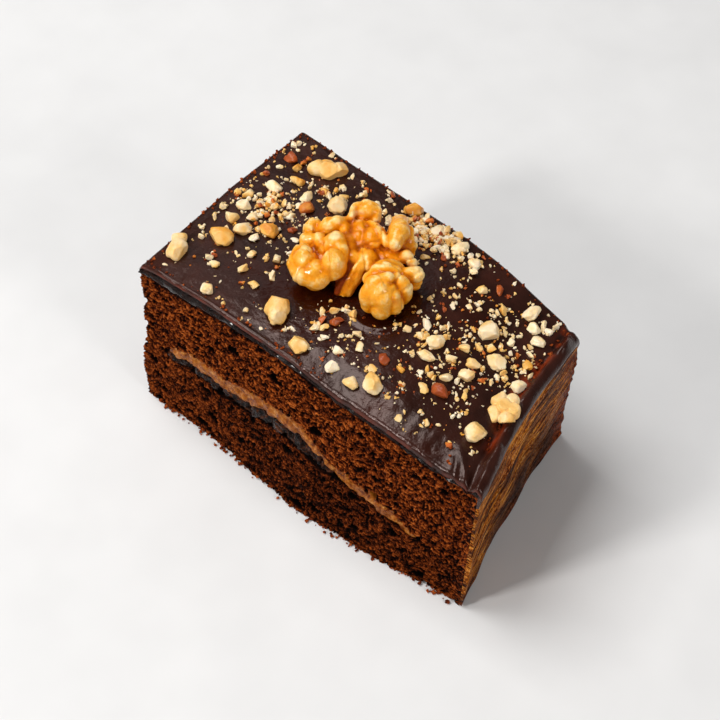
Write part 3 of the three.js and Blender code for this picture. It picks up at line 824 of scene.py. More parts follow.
def bend_corner(run, v):
    """Rounds the turn from the top into the end."""
    radius = 1.2
    away = run - TOP_RUN
    inside = np.abs(away) < radius
    share = np.clip((away + radius) / (2 * radius), 0, 1)[:, None]
    before = glaze_outside(np.full_like(run, TOP_RUN - radius), v)
    corner = glaze_outside(np.full_like(run, TOP_RUN), v)
    after = glaze_outside(np.full_like(run, TOP_RUN + radius), v)
    bent = (1 - share) ** 2 * before + 2 * share * (1 - share) * corner + share ** 2 * after
    plain = glaze_outside(run, v)
    return np.where(inside[:, None], bent, plain)


def glaze_inside(run, v):
    u = np.clip(run / TOP_RUN, 0, 1)
    down = np.maximum(0, run - TOP_RUN)
    top_z = glaze_underside(u, v) + GAP
    z = top_z - down / END_RUN * (top_z - GLAZE_FOOT)
    x, y = plan(u, v, np.clip(z / BLOCK_TOP, 0, 1))
    x = x - COAT_SEEN * u
    return np.stack([x, y, z], 1)


def cut_profile(row, along):
    """How the cut side of the glaze stands in and out, from its underside to its rim."""
    rim = -0.2 * bell(row, 1.0, 0.1)
    recess = 0.65 * bell(row, 0.78, 0.11) * (0.7 + 0.3 * np.sin(along / 5))
    smear = -0.3 * bell(row, 0.4, 0.2)
    under = 0.8 * bell(row, 0.0, 0.14)
    return rim + recess + smear + under


def walnut_nearness(x, y):
    """1 by the walnut's front and right side, where the glaze pooled, fading over some millimetres."""
    from_x = x - POOL_MIDDLE[0]
    from_y = y - POOL_MIDDLE[1]
    along = from_x * math.cos(POOL_TURN) + from_y * math.sin(POOL_TURN)
    across = -from_x * math.sin(POOL_TURN) + from_y * math.cos(POOL_TURN)
    distance = np.sqrt((along / POOL_REACH[0]) ** 2 + (across / POOL_REACH[1]) ** 2)
    return 1 - smooth(0.75, 1.25, distance)


def glaze_piece(material):
    run_steps = int((TOP_RUN + END_RUN) / GLAZE_STEP)
    wide_steps = int(GLAZE_WIDE / GLAZE_STEP)
    mesh = box_grid("glaze_poured", run_steps, wide_steps, GLAZE_ROWS)
    flat = spots_of(mesh)
    run = flat[:, 0] * (TOP_RUN + END_RUN)
    v = flat[:, 1]
    v = v - EDGE_CROWDING * np.sin(2 * np.pi * v)
    row = flat[:, 2]
    outside = bend_corner(run, v)
    inside = glaze_inside(run, v)
    spots = mix(inside, outside, row[:, None])
    profile = cut_profile(row, run)
    ragged = 0.3 * unevenness(spots, 2.2, 98) + 0.2 * unevenness(spots, 0.9, 99)
    on_top = 1 - smooth(TOP_RUN - 4, TOP_RUN, run)
    side = np.where(v < 1e-4, 1.0, np.where(v > 1 - 1e-4, -1.0, 0.0))
    spots[:, 1] += side * on_top * (profile - ragged * (1 - smooth(0.8, 1.0, row)))
    left = np.where(run < 1e-3, 1.0, 0.0)
    spots[:, 0] += left * (profile - ragged * (1 - smooth(0.8, 1.0, row)))
    lower = (1 - smooth(0.0, 0.25, row)) * np.maximum(np.abs(side), left) * on_top
    spots[:, 2] += (0.5 * unevenness(spots, 2.8, 100) + 0.25 * unevenness(spots, 1.1, 107)) * lower
    put_spots(mesh, spots)
    drawn, cut = paint_glaze(mesh, spots, run, v, row, np.maximum(np.abs(side), left))
    piece = add_piece("glaze_poured", mesh, material, "glaze", "glaze")
    part_materials(mesh, [(cut, cut_ganache_material()), (drawn, scraped_material())])
    return piece


def paint_glaze(mesh, spots, run, v, row, on_side):
    top = row > 0.99
    u = run / TOP_RUN
    smear = smooth(0.1, 0.5, unevenness(spots, 8.0, 101)) * smooth(0.5, 0.8, u)
    near = walnut_nearness(spots[:, 0], spots[:, 1])
    on_top = 1 - smooth(TOP_RUN - 1, TOP_RUN + 1, run)
    paint(mesh, "pooled", np.clip(near + 0.7 * smear, 0, 1) * on_top)
    down = run - TOP_RUN
    wander = 1.6 * unevenness(spots, 5.0, 102) + 0.6 * unevenness(spots, 1.5, 106)
    hang = drape_reach(v)
    drawn = smooth(hang - 0.7, hang + 0.7, down + 0.45 * wander)
    far_edge = smooth(0.86, 0.97, v + 0.05 * unevenness(spots, 3.0, 104)) * smooth(3.0, 7.0, down)
    paint(mesh, "bare_crumb", np.maximum(far_edge, bell(down, END_RUN, 1.6) * broken_line(spots)))
    foot = down / END_RUN + 0.22 * unevenness(spots * np.array([1, 0.5, 1]), 5.0, 111)
    paint(mesh, "left_thick", 0.95 * smooth(0.52, 0.8, foot) * smooth(0.1, 0.4, v))
    # The rim mask: the reddish syrup line in the groove, the ganache's own colour, and a painted highlight
    # along the top edges of the cut sides
    groove = bell(u, GROOVE_AT + 0.004 * np.sin(9 * v), 0.012) * smooth(0.15, 0.3, v)
    edge = on_side * bell(row, 1.0, 0.06) * on_top
    broken = smooth(-0.5, 0.3, unevenness(spots, 2.0, 103))
    groove_line = np.where(top, 0.95 * groove * broken, 0)
    edge_line = 0.6 * edge * broken * np.where(top, 0.6, 1)
    paint(mesh, "rim", groove_line + edge_line)
    cut = on_side * (1 - smooth(0.85, 0.97, row)) * on_top
    return drawn, cut


def broken_line(spots):
    return smooth(-0.2, 0.4, unevenness(spots, 3.0, 105))


def part_materials(mesh, masks_and_materials):
    """Gives the faces inside each mask a material of their own."""
    corners = np.empty(len(mesh.loops), dtype=np.int64)
    mesh.loops.foreach_get("vertex_index", corners)
    chosen = np.zeros(len(mesh.polygons), dtype=np.int32)
    for order, (mask, material) in enumerate(masks_and_materials, 1):
        mesh.materials.append(material)
        chosen[mask[corners.reshape(-1, 4)].mean(1) > 0.5] = order
    mesh.polygons.foreach_set("material_index", chosen)


# Nuts

PLACED_NUTS = [
    (37.5, -15.7, 5.6, 5.0, 20, 0.22), (15.1, -20.4, 5.3, 4.3, -40, 0.25), (24.6, 7.0, 5.1, 4.7, 60, 0.2),
    (30.3, 1.8, 5.0, 3.6, -15, 0.18), (-3.5, -21.8, 4.8, 4.2, 40, 0.3), (-22.2, 14.2, 4.9, 4.7, 0, 0.2),
    (-27.4, 9.3, 3.7, 3.3, 30, 0.7), (-42.8, -10.9, 5.2, 3.4, 30, 0.2), (-36.4, -8.8, 5.9, 4.9, 10, 0.42),
    (-34.3, -4.2, 4.2, 3.6, 50, 0.22), (-29.5, -0.7, 5.0, 3.6, 5, 0.45), (-28.8, -22.2, 3.4, 3.2, 0, 0.15),
    (18.3, -3.3, 4.0, 3.5, 70, 0.2), (28.1, -5.6, 3.7, 3.2, 45, 0.2), (18.7, -7.5, 4.4, 2.6, 10, 0.2),
    (6.5, 21.0, 4.7, 3.5, 80, 0.2), (-0.4, 22.1, 4.0, 3.6, 20, 0.15), (-8.8, 24.9, 4.6, 3.8, 35, 0.5),
    (26.4, -12.6, 4.5, 3.0, -10, 0.9), (-37.5, 10.1, 4.2, 3.4, 0, 0.15), (-39.0, 1.6, 3.6, 3.1, 30, 0.1),
    (28.0, 18.0, 4.5, 3.5, 65, 0.12), (30.5, 15.3, 3.6, 2.8, 0, 0.12), (33.2, 12.8, 3.6, 2.7, 10, 0.12),
    (37.1, 0.3, 3.4, 3.0, 50, 0.12),
]
LARGE_NUTS = [
    ("nut_piece_back", -31.7, 22.2, 9.4, 6.0, 30, 0.36),
    ("nut_piece_left", -42.1, -16.6, 8.6, 4.8, 122, 0.22),
    ("nut_piece_front", -12.8, -17.9, 7.6, 6.0, -60, 0.36),
    ("nut_piece_right", 38.7, -7.2, 9.0, 7.0, 120, 0.28),
]
# Lobes of the large nuts: along, across and up, then half sizes, in each nut's own frame
NUT_LOBES = {
    "nut_piece_back": [
        (-2.4, 0.2, 1.3, 2.4, 2.1, 1.7), (0.4, -0.5, 1.6, 2.4, 2.3, 2.0), (2.7, 0.3, 1.4, 2.1, 1.9, 1.7),
        (-0.6, 1.5, 1.2, 2.0, 1.3, 1.4),
    ],
    "nut_piece_left": [
        (-1.2, 0.0, 1.3, 3.1, 2.2, 1.7), (1.9, 0.2, 1.2, 2.4, 1.7, 1.4), (-2.0, 1.5, 0.9, 1.4, 1.0, 1.0),
    ],
    "nut_piece_front": [
        (-0.6, 0.0, 1.7, 3.0, 2.8, 2.2), (1.8, 0.4, 1.4, 1.9, 2.0, 1.8), (3.2, -0.2, 0.9, 0.7, 0.7, 0.7),
    ],
    "nut_piece_right": [
        (2.4, 1.3, 1.6, 1.9, 1.8, 1.8), (2.5, -1.5, 1.5, 1.7, 1.6, 1.6), (-0.2, -2.1, 1.6, 1.9, 1.4, 1.8),
        (-2.6, -0.9, 1.5, 1.9, 1.7, 1.6), (-1.4, 1.9, 1.4, 2.1, 1.5, 1.6), (0.3, 0.0, 2.3, 1.7, 1.4, 1.4),
    ],
}
# Drifts of the chopped nuts: middle, width and weight
DRIFTS = [(-1.5, 22, 7, 3.2), (-33.5, 3, 9, 1.6), (-29.5, 15, 6, 1.2), (27.5, 4, 13, 1.3), (1.5, -15, 8, 0.9),
          (23.5, -9, 7, 1.0)]
SCATTER_FLOOR = 0.22
SCATTER_PEAK = 3.6
SCATTER_PIECES = 44
SCATTER_TRIES = 6000
SCATTER_SEED = 20
NUT_SHAPE_SEED = 77
# Draws passed over at each nut, which keeps the places after it in step with the solids
NUT_DRAWS = 12
NUT_CUTS = 7
LARGE_NUT_MIDDLE = np.array([0, 0, 1.5])
LARGE_NUT_HALF_HEIGHT = 2.2
LARGE_NUT_SEED = 500

WALNUT_PLACE = (-8.9, 4.2)
WALNUT_TURN = math.radians(38.6)
WALNUT_LOBES = [
    (-11.1, -5.0, 5.6, 3.6, 4.3, 5.2), (-8.9, -7.8, 5.0, 4.1, 3.7, 4.9), (-4.8, -6.6, 7.0, 3.7, 4.4, 4.6),
    (-4.6, -1.8, 8.2, 3.2, 3.9, 3.4), (-10.8, 1.2, 4.6, 2.3, 2.1, 2.4), (-9.2, 4.6, 4.8, 3.2, 2.5, 3.6),
    (-5.6, 4.0, 6.6, 4.0, 2.6, 3.8), (-2.4, 3.2, 6.6, 2.4, 3.1, 3.2), (1.7, 7.8, 5.8, 3.4, 3.2, 4.6),
    (8.8, 2.8, 6.0, 3.1, 3.6, 5.0), (8.0, -0.6, 6.8, 2.7, 2.9, 3.6), (11.0, -0.2, 4.4, 2.1, 2.1, 2.7),
    (2.2, 0.2, 5.8, 4.4, 4.8, 3.4), (0.8, -4.4, 4.8, 4.0, 4.4, 3.2), (6.6, -3.2, 4.6, 4.6, 3.3, 3.3),
    (5.0, -13.4, 5.5, 4.4, 5.0, 5.5), (9.6, -12.0, 4.4, 2.8, 3.0, 4.1), (11.8, -8.4, 4.4, 3.0, 2.6, 3.7),
    (6.6, -8.0, 6.2, 4.6, 3.3, 3.9),
]
# The ridges that wind over those lobes, each through a few places across, away, up and radius
WALNUT_RIDGES = {
    "curled_front_left": [(-11.5, -2.5, 6.0, 2.0), (-12.9, -4.8, 5.0, 2.3), (-11.4, -7.8, 4.6, 2.5),
                          (-8.2, -8.9, 4.4, 2.4), (-5.7, -7.7, 5.7, 2.2), (-3.9, -5.9, 7.1, 2.1),
                          (-3.5, -3.8, 7.9, 1.9), (-4.8, -1.2, 8.0, 1.7)],
    "fan_left": [(6.6, -12.4, 8.4, 1.4), (3.8, -13.0, 7.0, 2.4), (2.8, -14.2, 4.8, 2.4),
                 (2.8, -14.6, 2.8, 2.0)],
    "fan_middle": [(6.8, -14.0, 7.0, 1.5), (5.6, -15.6, 5.4, 2.4), (5.2, -16.2, 3.0, 2.3)],
    "fan_right": [(7.4, -15.0, 5.6, 1.9), (7.9, -15.4, 3.4, 2.1)],
    "fan_brow": [(2.6, -10.6, 6.2, 1.5), (4.0, -9.6, 7.6, 1.6), (6.0, -9.3, 8.0, 1.6), (8.2, -9.8, 7.4, 1.4)],
    "fan_side": [(8.6, -11.8, 7.8, 1.3), (10.0, -12.7, 6.2, 1.9), (10.2, -13.0, 4.0, 1.7)],
    "knob": [(10.2, -9.4, 6.4, 1.4), (12.6, -9.4, 6.4, 1.8)],
    "curl_floor": [(-8.6, -0.8, 4.4, 1.8), (-7.2, -3.0, 4.2, 2.0), (-8.2, -4.6, 3.6, 2.0)],
    "back_right": [(9.3, 4.9, 7.0, 2.1), (9.2, 1.2, 8.4, 2.4), (8.1, -2.3, 8.2, 1.6)],
    "back_right_side": [(11.2, 3.0, 6.4, 1.6), (11.4, 0.8, 6.2, 1.3)],
    "right_low": [(10.2, -0.8, 5.8, 1.4), (12.0, 0.2, 5.0, 1.4)],
    "right_lower": [(10.6, -3.6, 5.8, 1.5), (11.8, -4.6, 4.8, 1.3)],
    "top_ring": [(-1.2, 6.1, 8.0, 1.0), (-0.5, 8.3, 8.8, 1.1), (2.1, 9.2, 8.8, 1.1), (4.4, 8.2, 8.0, 1.2),
                 (4.2, 6.4, 6.8, 1.1)],
    "back_left_ball": [(-10.0, 4.5, 5.6, 1.8), (-9.2, 5.6, 6.0, 1.7)],
    "back_left": [(-6.2, 4.5, 7.2, 1.7), (-4.2, 4.4, 7.9, 1.6), (-2.7, 5.3, 7.2, 1.2)],
    "left_small": [(-11.2, 2.0, 5.0, 1.6), (-9.2, 1.4, 5.8, 1.3)],
    "inside_curl": [(-8.0, 1.2, 6.4, 1.4), (-7.0, -1.9, 5.8, 1.5)],
    "middle_crest": [(2.6, 4.2, 7.7, 0.9), (3.7, 2.7, 8.4, 1.0), (5.2, 0.2, 8.6, 1.0), (6.4, -2.0, 8.0, 1.0)],
    "middle_fold": [(-1.7, 4.8, 6.9, 0.7), (-1.5, 3.0, 6.9, 0.7), (-1.2, 1.2, 6.6, 0.8)],
    "thin_wall_rim": [(1.4, -3.0, 7.2, 0.6), (1.1, -6.0, 7.1, 0.6), (-0.3, -7.4, 6.2, 0.5),
                      (-1.5, -8.9, 4.2, 0.5), (-3.0, -10.6, 0.9, 0.5)],
    "thin_wall_right": [(1.0, -6.8, 5.6, 1.5), (-0.1, -8.2, 3.9, 1.4), (-1.8, -10.0, 1.5, 1.1)],
    "thin_wall_left": [(-2.0, -6.4, 5.0, 1.4), (-3.1, -8.2, 2.9, 1.4), (-3.9, -9.7, 1.0, 1.0)],
}
# Smooth bodies of the middle, under the honey
WALNUT_MIDDLE = [
    (0.9, 2.0, 6.6, 2.8, 4.2, 2.2), (3.7, 0.9, 7.2, 2.8, 3.6, 2.1), (2.1, -5.0, 5.7, 2.6, 3.3, 2.2),
    (-1.6, -0.4, 6.0, 2.3, 3.8, 2.2), (-0.6, -4.2, 5.4, 1.9, 2.4, 2.2),
    (2.1, 8.0, 7.6, 2.8, 2.0, 2.3), (6.5, -3.4, 5.0, 4.0, 3.0, 1.8), (5.2, -12.7, 4.8, 3.6, 4.1, 4.0),
]
WALNUT_CORE = {"size": 0.79, "lowered": 0.6}
# Face of the thin wall that gets painted shade: from, to and reach
THIN_WALL = {"from": (-2.2, -6.2, 5.2), "to": (-3.7, -9.8, 0.9), "reach": 1.9}
# Where the honey lies thickest: across, away, up and reach
AMBER_SPOTS = [(0.6, 0.5, 6.0, 6.0), (-0.2, -8.4, 3.4, 3.8), (5.0, -4.0, 5.0, 4.6), (-1.0, 4.0, 5.5, 3.4),
               (-8.2, -1.8, 5.0, 2.4), (10.8, -2.0, 4.5, 3.0)]
# Spots where the kernel broke and the honey left it pale
PALE_SPOTS = [(-4.6, -1.7, 9.6, 1.4), (7.0, -11.6, 10.2, 1.2), (0.3, 5.6, 9.2, 1.7), (14.4, -9.2, 6.6, 1.6)]


def drift_at(x, y):
    total = SCATTER_FLOOR
    for drift_x, drift_y, width, weight in DRIFTS:
        total += weight * math.exp(-((x - drift_x) ** 2 + (y - drift_y) ** 2) / width ** 2)
    return total


def walnut_cover():
    cos = math.cos(WALNUT_TURN)
    sin = math.sin(WALNUT_TURN)
    cover = []
    for across, away, _, wide, deep, _ in WALNUT_LOBES:
        x = WALNUT_PLACE[0] + across * cos - away * sin
        y = WALNUT_PLACE[1] + across * sin + away * cos
        cover.append((x, y, max(wide, deep)))
    return cover


def kept_clear(x, y, reach, taken, spare=0.4):
    return all(math.hypot(x - ox, y - oy) > reach + other + spare for ox, oy, other in taken)


# How soft the edge of a cut is, as a share of the lump's radius
CUT_SOFTNESS = 0.035


class Heap:
    """Many small lumps gathered into one mesh, each with a tone of its own."""

    def __init__(self, broken=False):
        self.broken = broken
        self.bm = bmesh.new()
        self.tone = self.bm.verts.layers.float.new("tone")

    def add_lump(self, place, radii, turn, tilt, tone, draws, detail, facets, jagged=0.0, closest=0.55):
        """One broken lump: a ball with bumps, rounded-off cuts and, where jagged, torn corners."""
        made = bmesh.ops.create_icosphere(self.bm, subdivisions=detail, radius=1.0)["verts"]
        cuts = []
        for _ in range(facets):
            direction = Vector((draws.between(-1, 1), draws.between(-1, 1), draws.between(-0.4, 1)))
            cuts.append((direction.normalized(), draws.between(closest, 0.95)))
        swings = [draws.between(-1, 1) for _ in range(3)]
        rotation = Matrix.Rotation(turn, 3, "Z") @ Matrix.Rotation(tilt, 3, "Y")
        side_tone = Vector((draws.between(-1, 1), draws.between(-1, 1), draws.between(-1, 1)))
        for vert in made:
            spot = vert.co
            lump = 1 + 0.14 * math.sin(3.1 * spot.x + 6 * swings[0])
            lump += 0.14 * math.sin(3.7 * spot.y + 6 * swings[1])
            lump += 0.12 * math.sin(4.1 * spot.z + 5 * spot.x + 6 * swings[2])
            lump += 0.04 * math.sin(11 * spot.x + 9 * spot.y + 6 * swings[0])
            lump += jagged * draws.between(-1, 1)
            spot = spot * lump
            for direction, reach in cuts:
                over = spot.dot(direction) - reach
                spot = spot - CUT_SOFTNESS * math.log1p(math.exp(min(over / CUT_SOFTNESS, 30))) * direction
            shade = 0.12 * spot.dot(side_tone)
            vert[self.tone] = min(1, max(0, tone + shade))
            spot = Vector((spot.x * radii[0], spot.y * radii[1], spot.z * radii[2]))
            vert.co = (rotation @ spot + Vector(place)) * MM

    def make(self, name, material, *nodes):
        mesh = bpy.data.meshes.new(name)
        self.bm.to_mesh(mesh)
        self.bm.free()
        piece = add_piece(name, mesh, material, "nut", *nodes)
        mesh.polygons.foreach_set("use_smooth", np.full(len(mesh.polygons), not self.broken))
        return piece


def draw_tone(draws):
    kind = draws.next()
    if kind < 0.78:
        return draws.between(0.0, 0.36)
    if kind < 0.88:
        return draws.between(0.3, 0.5)
    return draws.between(0.62, 0.92)


def nut_pieces(material):
    draws = Draws(SCATTER_SEED)
    shape = Draws(NUT_SHAPE_SEED)
    taken = walnut_cover()
    for _, x, y, length, width, _, _ in LARGE_NUTS:
        taken.append((x, y, (length + width) / 4 + 0.8))
    heap = Heap()
    for x, y, length, width, turn, tone in PLACED_NUTS:
        if not kept_clear(x, y, width / 2, taken):
            continue
        taken.append((x, y, (length + width) / 4 - 0.4))
        draws.skip(NUT_DRAWS)
        kernel(heap, x, y, length, width, turn, tone, 4, shape, 0.16)
    tries = 0
    kept = 0
    while kept < SCATTER_PIECES and tries < SCATTER_TRIES:
        tries += 1
        u = draws.between(0.04, 0.9)
        v = draws.between(0.06, 0.94)
        chance = draws.next() * SCATTER_PEAK
        length = mix(3.6, 2.0, kept / SCATTER_PIECES)
        width = length * draws.between(0.6, 0.95)
        turn = draws.next() * math.pi
        x, y = plan(u, v, 1)
        if chance > drift_at(x, y) or not kept_clear(x, y, length / 2, taken):
            continue
        taken.append((x, y, length / 2))
        tall = 0.62 * min(length, width) / 2
        draws.skip(NUT_DRAWS)
        ground = surface_at(x, y)[0]
        heap.add_lump((x, y, ground + 0.6 * tall), (length / 2, width / 2, tall * 1.2), turn,
                      shape.between(-0.3, 0.3), draw_tone(shape), shape, 3, 7, 0.05, 0.5)
        kept += 1
    heap.make("chopped_nuts", material)
    return taken


def scatter_small(heap, taken, count, sizes, seed, detail, facets, spare, crowd):
    """Seeded bits between two sizes, each with a crowd of smaller ones against it now and then."""
    draws = Draws(seed)
    places = []
    tries = 0
    while len(places) < count and tries < count * 60:
        tries += 1
        u = draws.between(0.02, 0.955)
        v = draws.between(0.03, 0.97)
        x, y = plan(u, v, 1)
        size = mix(sizes[0], sizes[1], draws.next() ** 1.8)
        if draws.next() * SCATTER_PEAK > drift_at(x, y) + 0.12:
            continue
        if not kept_clear(x, y, size / 2, taken, spare):
            continue
        kind = draw_tone(draws)
        places.append((x, y, size, kind))
        for _ in range(int(draws.next() * crowd)):
            around = draws.between(0, 6.28)
            away = size * draws.between(0.45, 0.8)
            places.append((x + away * math.cos(around), y + away * math.sin(around),
                           size * draws.between(0.3, 0.75), kind))
    ground = surface_at([p[0] for p in places], [p[1] for p in places])
    for (x, y, size, kind), height in zip(places, ground):
        width = size * draws.between(0.45, 0.9)
        tall = size * draws.between(0.26, 0.42)
        heap.add_lump((x, y, height + 0.5 * tall), (size / 2, width / 2, tall), draws.between(0, 3.14),
                      draws.between(-0.4, 0.4), kind, draws, detail, facets, 0.2, 0.4)


def heaped_bits(heap, middle, spread, count, sizes, seed):
    """A drift of bits lying over one another, thickest in its middle."""
    draws = Draws(seed)
    walnut = walnut_cover()
    places = []
    while len(places) < count:
        x = middle[0] + spread[0] * (draws.next() + draws.next() + draws.next() - 1.5)
        y = middle[1] + spread[1] * (draws.next() + draws.next() + draws.next() - 1.5)
        u, v = (share[0] for share in shares_at(np.array([x]), np.array([y])))
        if v < 0.96 and kept_clear(x, y, 0, walnut, -0.6):
            places.append((x, y, mix(sizes[0], sizes[1], draws.next() ** 1.6)))
    ground = surface_at([p[0] for p in places], [p[1] for p in places])
    for (x, y, size), height in zip(places, ground):
        tall = size * draws.between(0.3, 0.45)
        heap.add_lump((x, y, height + 0.5 * tall + draws.between(0, 0.7)), (size / 2, 0.36 * size, tall),
                      draws.between(0, 3.14), draws.between(-0.6, 0.6), draw_tone(draws), draws,
                      2, 4, 0.2, 0.4)


def kernel(heap, x, y, length, width, turn, tone, detail, draws, rough):
    """One whole-looking piece of kernel, bumpy and with a few rounded cuts, lying on the glaze."""
    tall = 0.62 * min(length, width) / 2
    ground = surface_at(x, y)[0]
    made = bmesh.ops.create_icosphere(heap.bm, subdivisions=detail, radius=1.0)["verts"]
    directions = np.array([vert.co[:] for vert in made])
    shift = 100 * draws.next()
    reach = 0.84 + 1.5 * rough * np.abs(unevenness(directions * 1.4 + shift, 1.0, 710))
    reach += 0.7 * rough * np.abs(unevenness(directions * 2.8 + shift, 1.0, 711))
    reach += 0.3 * rough * unevenness(directions * 6.5 + shift, 1.0, 712)
    spots = directions * reach[:, None]
    for _ in range(NUT_CUTS):
        facing = np.array([draws.between(-1, 1), draws.between(-1, 1), draws.between(-0.3, 0.8)])
        facing = facing / np.linalg.norm(facing)
        over = spots @ facing - draws.between(0.62, 0.92)
        spots = spots - (0.012 * np.logaddexp(0, over / 0.012))[:, None] * facing
    tones = tone + 0.14 * unevenness(directions * 1.2 + shift, 1.0, 713)
    scale = np.array([length / 2, width / 2, tall * 1.15]) * 1.04
    cos = math.cos(math.radians(turn))
    sin = math.sin(math.radians(turn))
    for vert, spot, shade in zip(made, spots * scale, tones):
        vert[heap.tone] = min(1, max(0, shade))
        vert.co = Vector((x + spot[0] * cos - spot[1] * sin, y + spot[0] * sin + spot[1] * cos,
                          ground + 0.66 * tall + spot[2])) * MM


def large_nut(name, x, y, length, width, turn, tone, material, seed):
    """A large piece of kernel with the lobes that it shows, a few broken faces and a crinkled skin."""
    bm = bmesh.new()
    for order, (along, across, up, long, wide, tall) in enumerate(NUT_LOBES[name]):
        add_ball(bm, (along, across, up), (long, wide, tall), 4, seed + order)
    mesh = one_skin(bm, 0.16, 2)
    spots = spots_of(mesh)
    draws = Draws(seed)
    half = np.array([length / 2, width / 2, LARGE_NUT_HALF_HEIGHT])
    for _ in range(NUT_CUTS):
        facing = np.array([draws.between(-1, 1), draws.between(-1, 1), draws.between(-0.2, 1)])
        facing = facing / np.linalg.norm(facing)
        over = (spots - LARGE_NUT_MIDDLE) / half @ facing - draws.between(0.62, 0.9)
        spots = spots - (0.02 * np.logaddexp(0, np.minimum(over / 0.02, 300)))[:, None] * facing * half
    crinkle = 0.09 * unevenness(spots, 1.1, seed) + 0.04 * unevenness(spots, 0.5, seed + 1)
    spots = spots + crinkle[:, None] * (spots - LARGE_NUT_MIDDLE) / half
    tones = tone + 0.16 * unevenness(spots, 2.4, seed + 2)
    cos = math.cos(math.radians(turn))
    sin = math.sin(math.radians(turn))
    ground = surface_at(x, y)[0] - 0.15
    turned_x = x + spots[:, 0] * cos - spots[:, 1] * sin
    turned_y = y + spots[:, 0] * sin + spots[:, 1] * cos
    put_spots(mesh, np.stack([turned_x, turned_y, ground + np.maximum(spots[:, 2], 0)], 1))
    paint(mesh, "tone", tones)
    mesh.name = name + "_broken"
    return add_piece(name + "_broken", mesh, material, "nut", name)


def add_ball(bm, place, radii, detail, seed):
    """A slightly uneven ball."""
    made = bmesh.ops.create_icosphere(bm, subdivisions=detail, radius=1.0)["verts"]
    directions = np.array([vert.co[:] for vert in made])
    reach = 1 + 0.07 * unevenness(directions * 1.6 + seed * 3.7, 1.0, 702)
    for vert, share in zip(made, reach):
        vert.co = Vector([middle + half * share * part for middle, half, part in zip(place, radii, vert.co)])


def add_ridge(bm, places, seed):
    """A winding ridge, slightly pinched every 3 mm as a walnut's folds are."""
    places = np.array(places)
    lengths = np.linalg.norm(np.diff(places[:, :3], axis=0), axis=1)
    ends = np.concatenate([[0], np.cumsum(lengths)])
    steps = max(2, int(ends[-1] / 0.5))
    for step in range(steps + 1):
        along = ends[-1] * step / steps
        spot = [np.interp(along, ends, places[:, axis]) for axis in range(4)]
        radius = spot[3] * (1 + 0.02 * math.cos(2 * math.pi * along / 3.0 + seed))
        bmesh.ops.create_icosphere(bm, subdivisions=3, radius=radius, matrix=Matrix.Translation(spot[:3]))


def distance_to_line(spots, start, end):
    start = np.array(start)
    along = np.array(end) - start
    share = np.clip(((spots - start) @ along) / (along @ along), 0, 1)
    return np.linalg.norm(spots - start - share[:, None] * along, axis=1)


def thin_wall_shade_mask(spots):
    """1 on the face of the thin wall between the front lobes, where its shade is painted dark, 0 on its rim.
    """
    near = distance_to_line(spots, THIN_WALL["from"], THIN_WALL["to"])
    rim = WALNUT_RIDGES["thin_wall_rim"]
    from_rim = np.min([distance_to_line(spots, a[:3], b[:3]) for a, b in zip(rim, rim[1:])], axis=0)
    on_wall = 1 - smooth(THIN_WALL["reach"] - 0.4, THIN_WALL["reach"] + 0.4, near)
    return on_wall * smooth(0.6, 0.85, from_rim)


def one_skin(bm, voxel, softening):
    """Overlapping balls made into one closed skin."""
    mesh = bpy.data.meshes.new("lobes")
    bm.to_mesh(mesh)
    bm.free()
    holder = bpy.data.objects.new("lobes", mesh)
    bpy.context.scene.collection.objects.link(holder)
    remesh = holder.modifiers.new("one_skin", "REMESH")
    remesh.mode = "VOXEL"
    remesh.voxel_size = voxel
    soften = holder.modifiers.new("soft_folds", "SMOOTH")
    soften.iterations = softening
    bpy.context.view_layer.update()
    whole = bpy.data.meshes.new_from_object(holder.evaluated_get(bpy.context.evaluated_depsgraph_get()))
    bpy.data.objects.remove(holder)
    return whole


def walnut_piece(material):
    bm = bmesh.new()
    core = WALNUT_CORE["size"]
    for order, (across, away, up, wide, deep, tall) in enumerate(WALNUT_LOBES):
        place = (across, away, up - WALNUT_CORE["lowered"])
        add_ball(bm, place, (core * wide, core * deep, core * tall), 4, order)
    for order, (across, away, up, wide, deep, tall) in enumerate(WALNUT_MIDDLE):
        add_ball(bm, (across, away, up), (wide, deep, tall), 4, 50 + order)
    for order, places in enumerate(WALNUT_RIDGES.values()):
        add_ridge(bm, places, order)
    whole = one_skin(bm, 0.24, 3)
    spots = spots_of(whole)
    normals = np.empty(len(whole.vertices) * 3)
    whole.vertices.foreach_get("normal", normals)
    normals = normals.reshape(-1, 3)
    bulge = bulge_of(whole, spots, normals)
    wrinkles = -0.32 * np.exp(-(unevenness(spots * np.array([1, 1, 0.7]), 3.6, 120) / 0.1) ** 2)
    wrinkles += 0.12 * unevenness(spots, 2.2, 121) + 0.035 * unevenness(spots, 0.9, 122)
    spots = spots + normals * wrinkles[:, None]
    bare = within(spots, PALE_SPOTS, 0.7, 1.1)
    amber = np.maximum(within(spots, AMBER_SPOTS, 0.5, 1.1), 1 - smooth(0.5, 4.5, spots[:, 2]))
    bulge = bulge - 0.24 * amber
    # Painted shade on the face of the thin wall between the front lobes
    blade_shade = thin_wall_shade_mask(spots)
    ground = surface_at(*WALNUT_PLACE)[0]
    cos = math.cos(WALNUT_TURN)
    sin = math.sin(WALNUT_TURN)
    x = WALNUT_PLACE[0] + spots[:, 0] * cos - spots[:, 1] * sin
    y = WALNUT_PLACE[1] + spots[:, 0] * sin + spots[:, 1] * cos
    z = ground + spots[:, 2]
    floor = surface_at(x, y) - 0.15
    z = np.maximum(z, floor)
    put_spots(whole, np.stack([x, y, z], 1))
    # The bulge carries painted highlights on the bulges and painted shade in the folds
    paint(whole, "bulge", bulge)
    paint(whole, "bare", bare)
    paint(whole, "blade_shade", blade_shade)
    whole.name = "walnut_half"
    return add_piece("walnut_half", whole, material, "walnut", "walnut")


